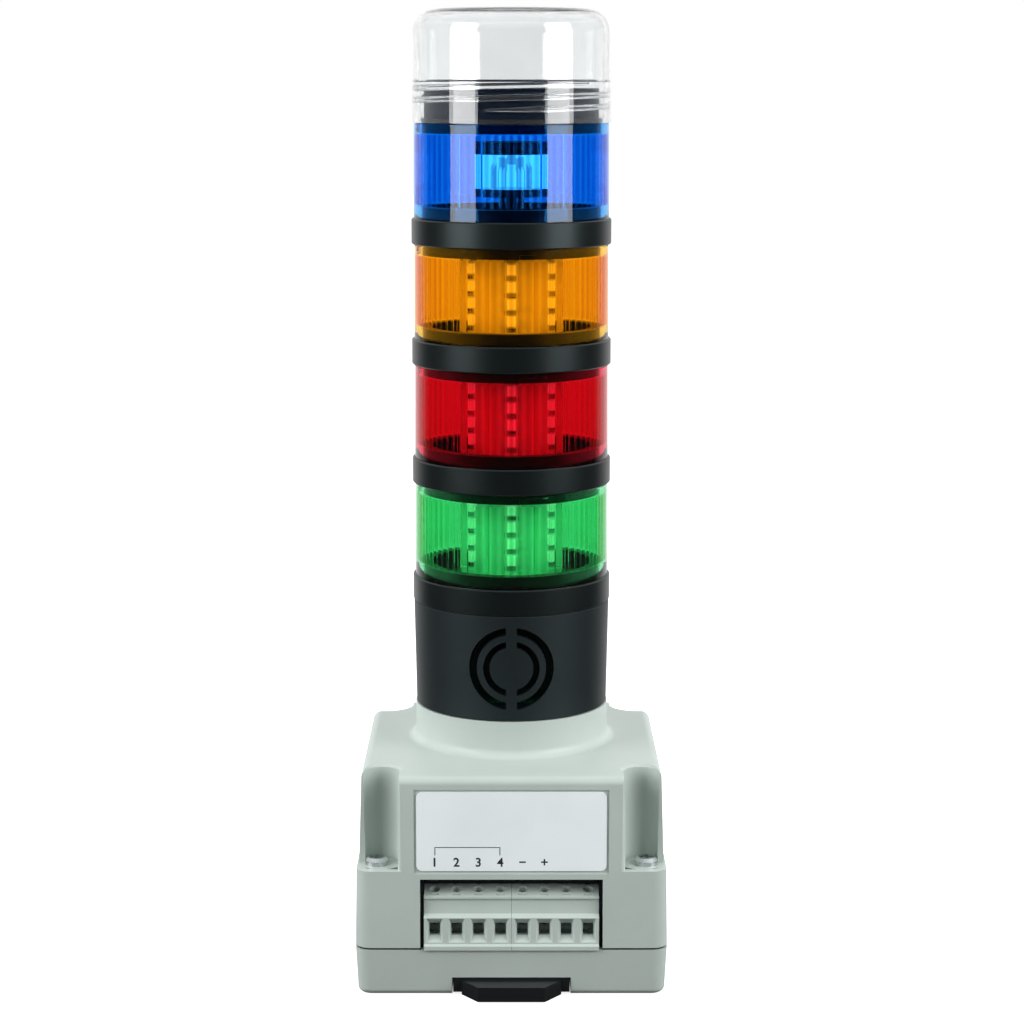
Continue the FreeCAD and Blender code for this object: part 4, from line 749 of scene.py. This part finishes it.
def make_world():
    """Backdrop: white to the camera and through clear parts, and for the rest dark in front alone."""
    world = bpy.data.worlds.new("Studio")
    bpy.context.scene.world = world
    world.use_nodes = True
    tree = Tree(world.node_tree)
    way = tree.split(tree.add("ShaderNodeTexCoord").outputs["Generated"])
    lit = tree.math("MAXIMUM", tree.ramp(way["Y"], -0.75, -0.25), tree.ramp(way["Z"], 0.25, 0.9, 0.35))
    mirrored = tree.math("MAXIMUM", tree.ramp(way["Y"], 0.45, 0.8), tree.ramp(way["Z"], 0.05, 0.5, 0.8))
    rays = tree.add("ShaderNodeLightPath").outputs
    level = tree.choose(rays["Is Glossy Ray"], lit, mirrored)
    through = tree.math("MAXIMUM", rays["Is Camera Ray"], let_through(tree, rays, way["Y"]))
    seen = tree.math("MAXIMUM", through, level)
    tree.end("ShaderNodeOutputWorld", tree.add("ShaderNodeBackground", {"Color": WHITE, "Strength": seen}))


def area_light(name, place, aim, width, height, watts):
    """A rectangular soft light at a place, facing a point, unseen straight through clear resin."""
    lamp = bpy.data.lights.new(name, "AREA")
    lamp.shape = "RECTANGLE"
    lamp.size, lamp.size_y, lamp.energy = width, height, watts
    lamp.use_nodes = True
    tree = Tree(lamp.node_tree)
    rays = tree.add("ShaderNodeLightPath").outputs
    unseen = tree.math("MULTIPLY", rays["Is Transmission Ray"], unmirrored(tree, rays))
    strength = tree.math("SUBTRACT", 1.0, unseen)
    tree.end("ShaderNodeOutputLight", tree.add("ShaderNodeEmission", {"Strength": strength}))
    obj = in_scene(name, lamp)
    obj.location = place
    obj.rotation_euler = (aim - obj.location).to_track_quat("-Z", "Y").to_euler()
    obj.visible_camera = False
    return obj


def make_lights(studio):
    """Two upright strips in front, a low fill at each side and a soft light above."""
    low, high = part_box("red_lens")
    middle = low.lerp(high, 0.5)
    middle.z = studio.strip_level

    def beside(side, azimuth, level):
        reach = Vector((side * math.sin(azimuth), -math.cos(azimuth), 0)) * studio.strip_distance
        return Vector((middle.x + reach.x, middle.y + reach.y, level))

    width = studio.strip_width
    for side, word in ((-1, "left"), (1, "right")):
        place = beside(side, studio.strip_azimuth, studio.strip_level)
        area_light(f"strip_{word}", place, middle, width, studio.strip_height, studio.strip_power)
        place = beside(side, studio.fill_azimuth, studio.fill_level)
        fill = area_light(f"fill_{word}", place, middle, width, width, studio.fill_power)
        fill.visible_glossy = fill.visible_transmission = False
    place = Vector((middle.x, middle.y, studio.top_level))
    area_light("top_light", place, middle, studio.top_width, studio.top_width, studio.top_power)


def make_camera(studio):
    """Camera in front, a little below the tower's top, looking down the tower."""
    data = bpy.data.cameras.new("camera")
    data.lens = studio.focal_length
    data.sensor_width = FILM_WIDTH
    data.clip_start = NEAR_LIMIT
    data.shift_y = studio.frame_shift
    obj = in_scene("camera", data)
    obj.location = (studio.camera_side, -studio.camera_distance, studio.camera_height)
    drop = studio.camera_height - studio.aim_height
    obj.rotation_euler = (math.pi / 2 - math.atan2(drop, studio.camera_distance), 0, 0)
    bpy.context.scene.camera = obj


# ---------------------------------------------------------------- operators

class STACKLIGHT_OT_materials(bpy.types.Operator):
    """Give every part of the stack light its material"""

    bl_idname = "stacklight.materials"
    bl_label = "Materials"

    def execute(self, context):
        dress_nodes(context.scene.stack_light_colours)
        return {"FINISHED"}


class STACKLIGHT_OT_spring(bpy.types.Operator):
    """Wind the rail latch's coil spring"""

    bl_idname = "stacklight.spring"
    bl_label = "Latch Spring"

    def execute(self, context):
        make_spring(context.scene.stack_light_detail)
        return {"FINISHED"}


class STACKLIGHT_OT_threads(bpy.types.Operator):
    """Cut the coarse threads of the neck and the cap"""

    bl_idname = "stacklight.threads"
    bl_label = "Cap Threads"

    def execute(self, context):
        make_threads(context.scene.stack_light_detail)
        return {"FINISHED"}


class STACKLIGHT_OT_webs(bpy.types.Operator):
    """Close the housing's wall behind its two front channels"""

    bl_idname = "stacklight.webs"
    bl_label = "Channel Webs"

    def execute(self, context):
        make_webs(context.scene.stack_light_detail)
        return {"FINISHED"}


class STACKLIGHT_OT_label(bpy.types.Operator):
    """Print the terminal numbers on the label"""

    bl_idname = "stacklight.label"
    bl_label = "Label Print"

    def execute(self, context):
        make_label(context.scene.stack_light_detail)
        return {"FINISHED"}


class STACKLIGHT_OT_stage(bpy.types.Operator):
    """Set up the floor, backdrop, lights and camera"""

    bl_idname = "stacklight.stage"
    bl_label = "Stage"

    def execute(self, context):
        make_floor()
        make_world()
        make_lights(context.scene.stack_light_studio)
        make_camera(context.scene.stack_light_studio)
        cycles = context.scene.cycles
        cycles.max_bounces = cycles.transmission_bounces = CLEAR_BOUNCES
        cycles.glossy_bounces = MIRROR_BOUNCES
        return {"FINISHED"}


OPERATORS = (
    STACKLIGHT_OT_materials,
    STACKLIGHT_OT_spring,
    STACKLIGHT_OT_threads,
    STACKLIGHT_OT_webs,
    STACKLIGHT_OT_label,
    STACKLIGHT_OT_stage,
)

SETTINGS = {
    "stack_light_detail": StackLightDetail,
    "stack_light_colours": StackLightColours,
    "stack_light_studio": StackLightStudio,
}


class STACKLIGHT_PT_panel(bpy.types.Panel):
    """Buttons, sizes and colours of the stack light"""

    bl_idname = "STACKLIGHT_PT_panel"
    bl_label = "Stack Light"
    bl_space_type = "VIEW_3D"
    bl_region_type = "UI"
    bl_category = "Stack Light"

    def draw(self, context):
        for kind in OPERATORS:
            self.layout.operator(kind.bl_idname)
        for title, kind in SETTINGS.items():
            box = self.layout.box()
            for name in kind.__annotations__:
                box.prop(getattr(context.scene, title), name)


CLASSES = (*SETTINGS.values(), *OPERATORS, STACKLIGHT_PT_panel)


def register():
    """Add the classes and the settings of the scene."""
    for kind in CLASSES:
        bpy.utils.register_class(kind)
    for title, kind in SETTINGS.items():
        setattr(bpy.types.Scene, title, PointerProperty(type=kind))


def unregister():
    """Take the classes and the settings away again."""
    for title in SETTINGS:
        delattr(bpy.types.Scene, title)
    for kind in reversed(CLASSES):
        bpy.utils.unregister_class(kind)


def main():
    """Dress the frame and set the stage."""
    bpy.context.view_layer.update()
    register()
    bpy.context.scene.view_settings.view_transform = "Standard"
    for kind in OPERATORS:
        group, name = kind.bl_idname.split(".")
        getattr(getattr(bpy.ops, group), name)()


if __name__ == "__main__":
    main()
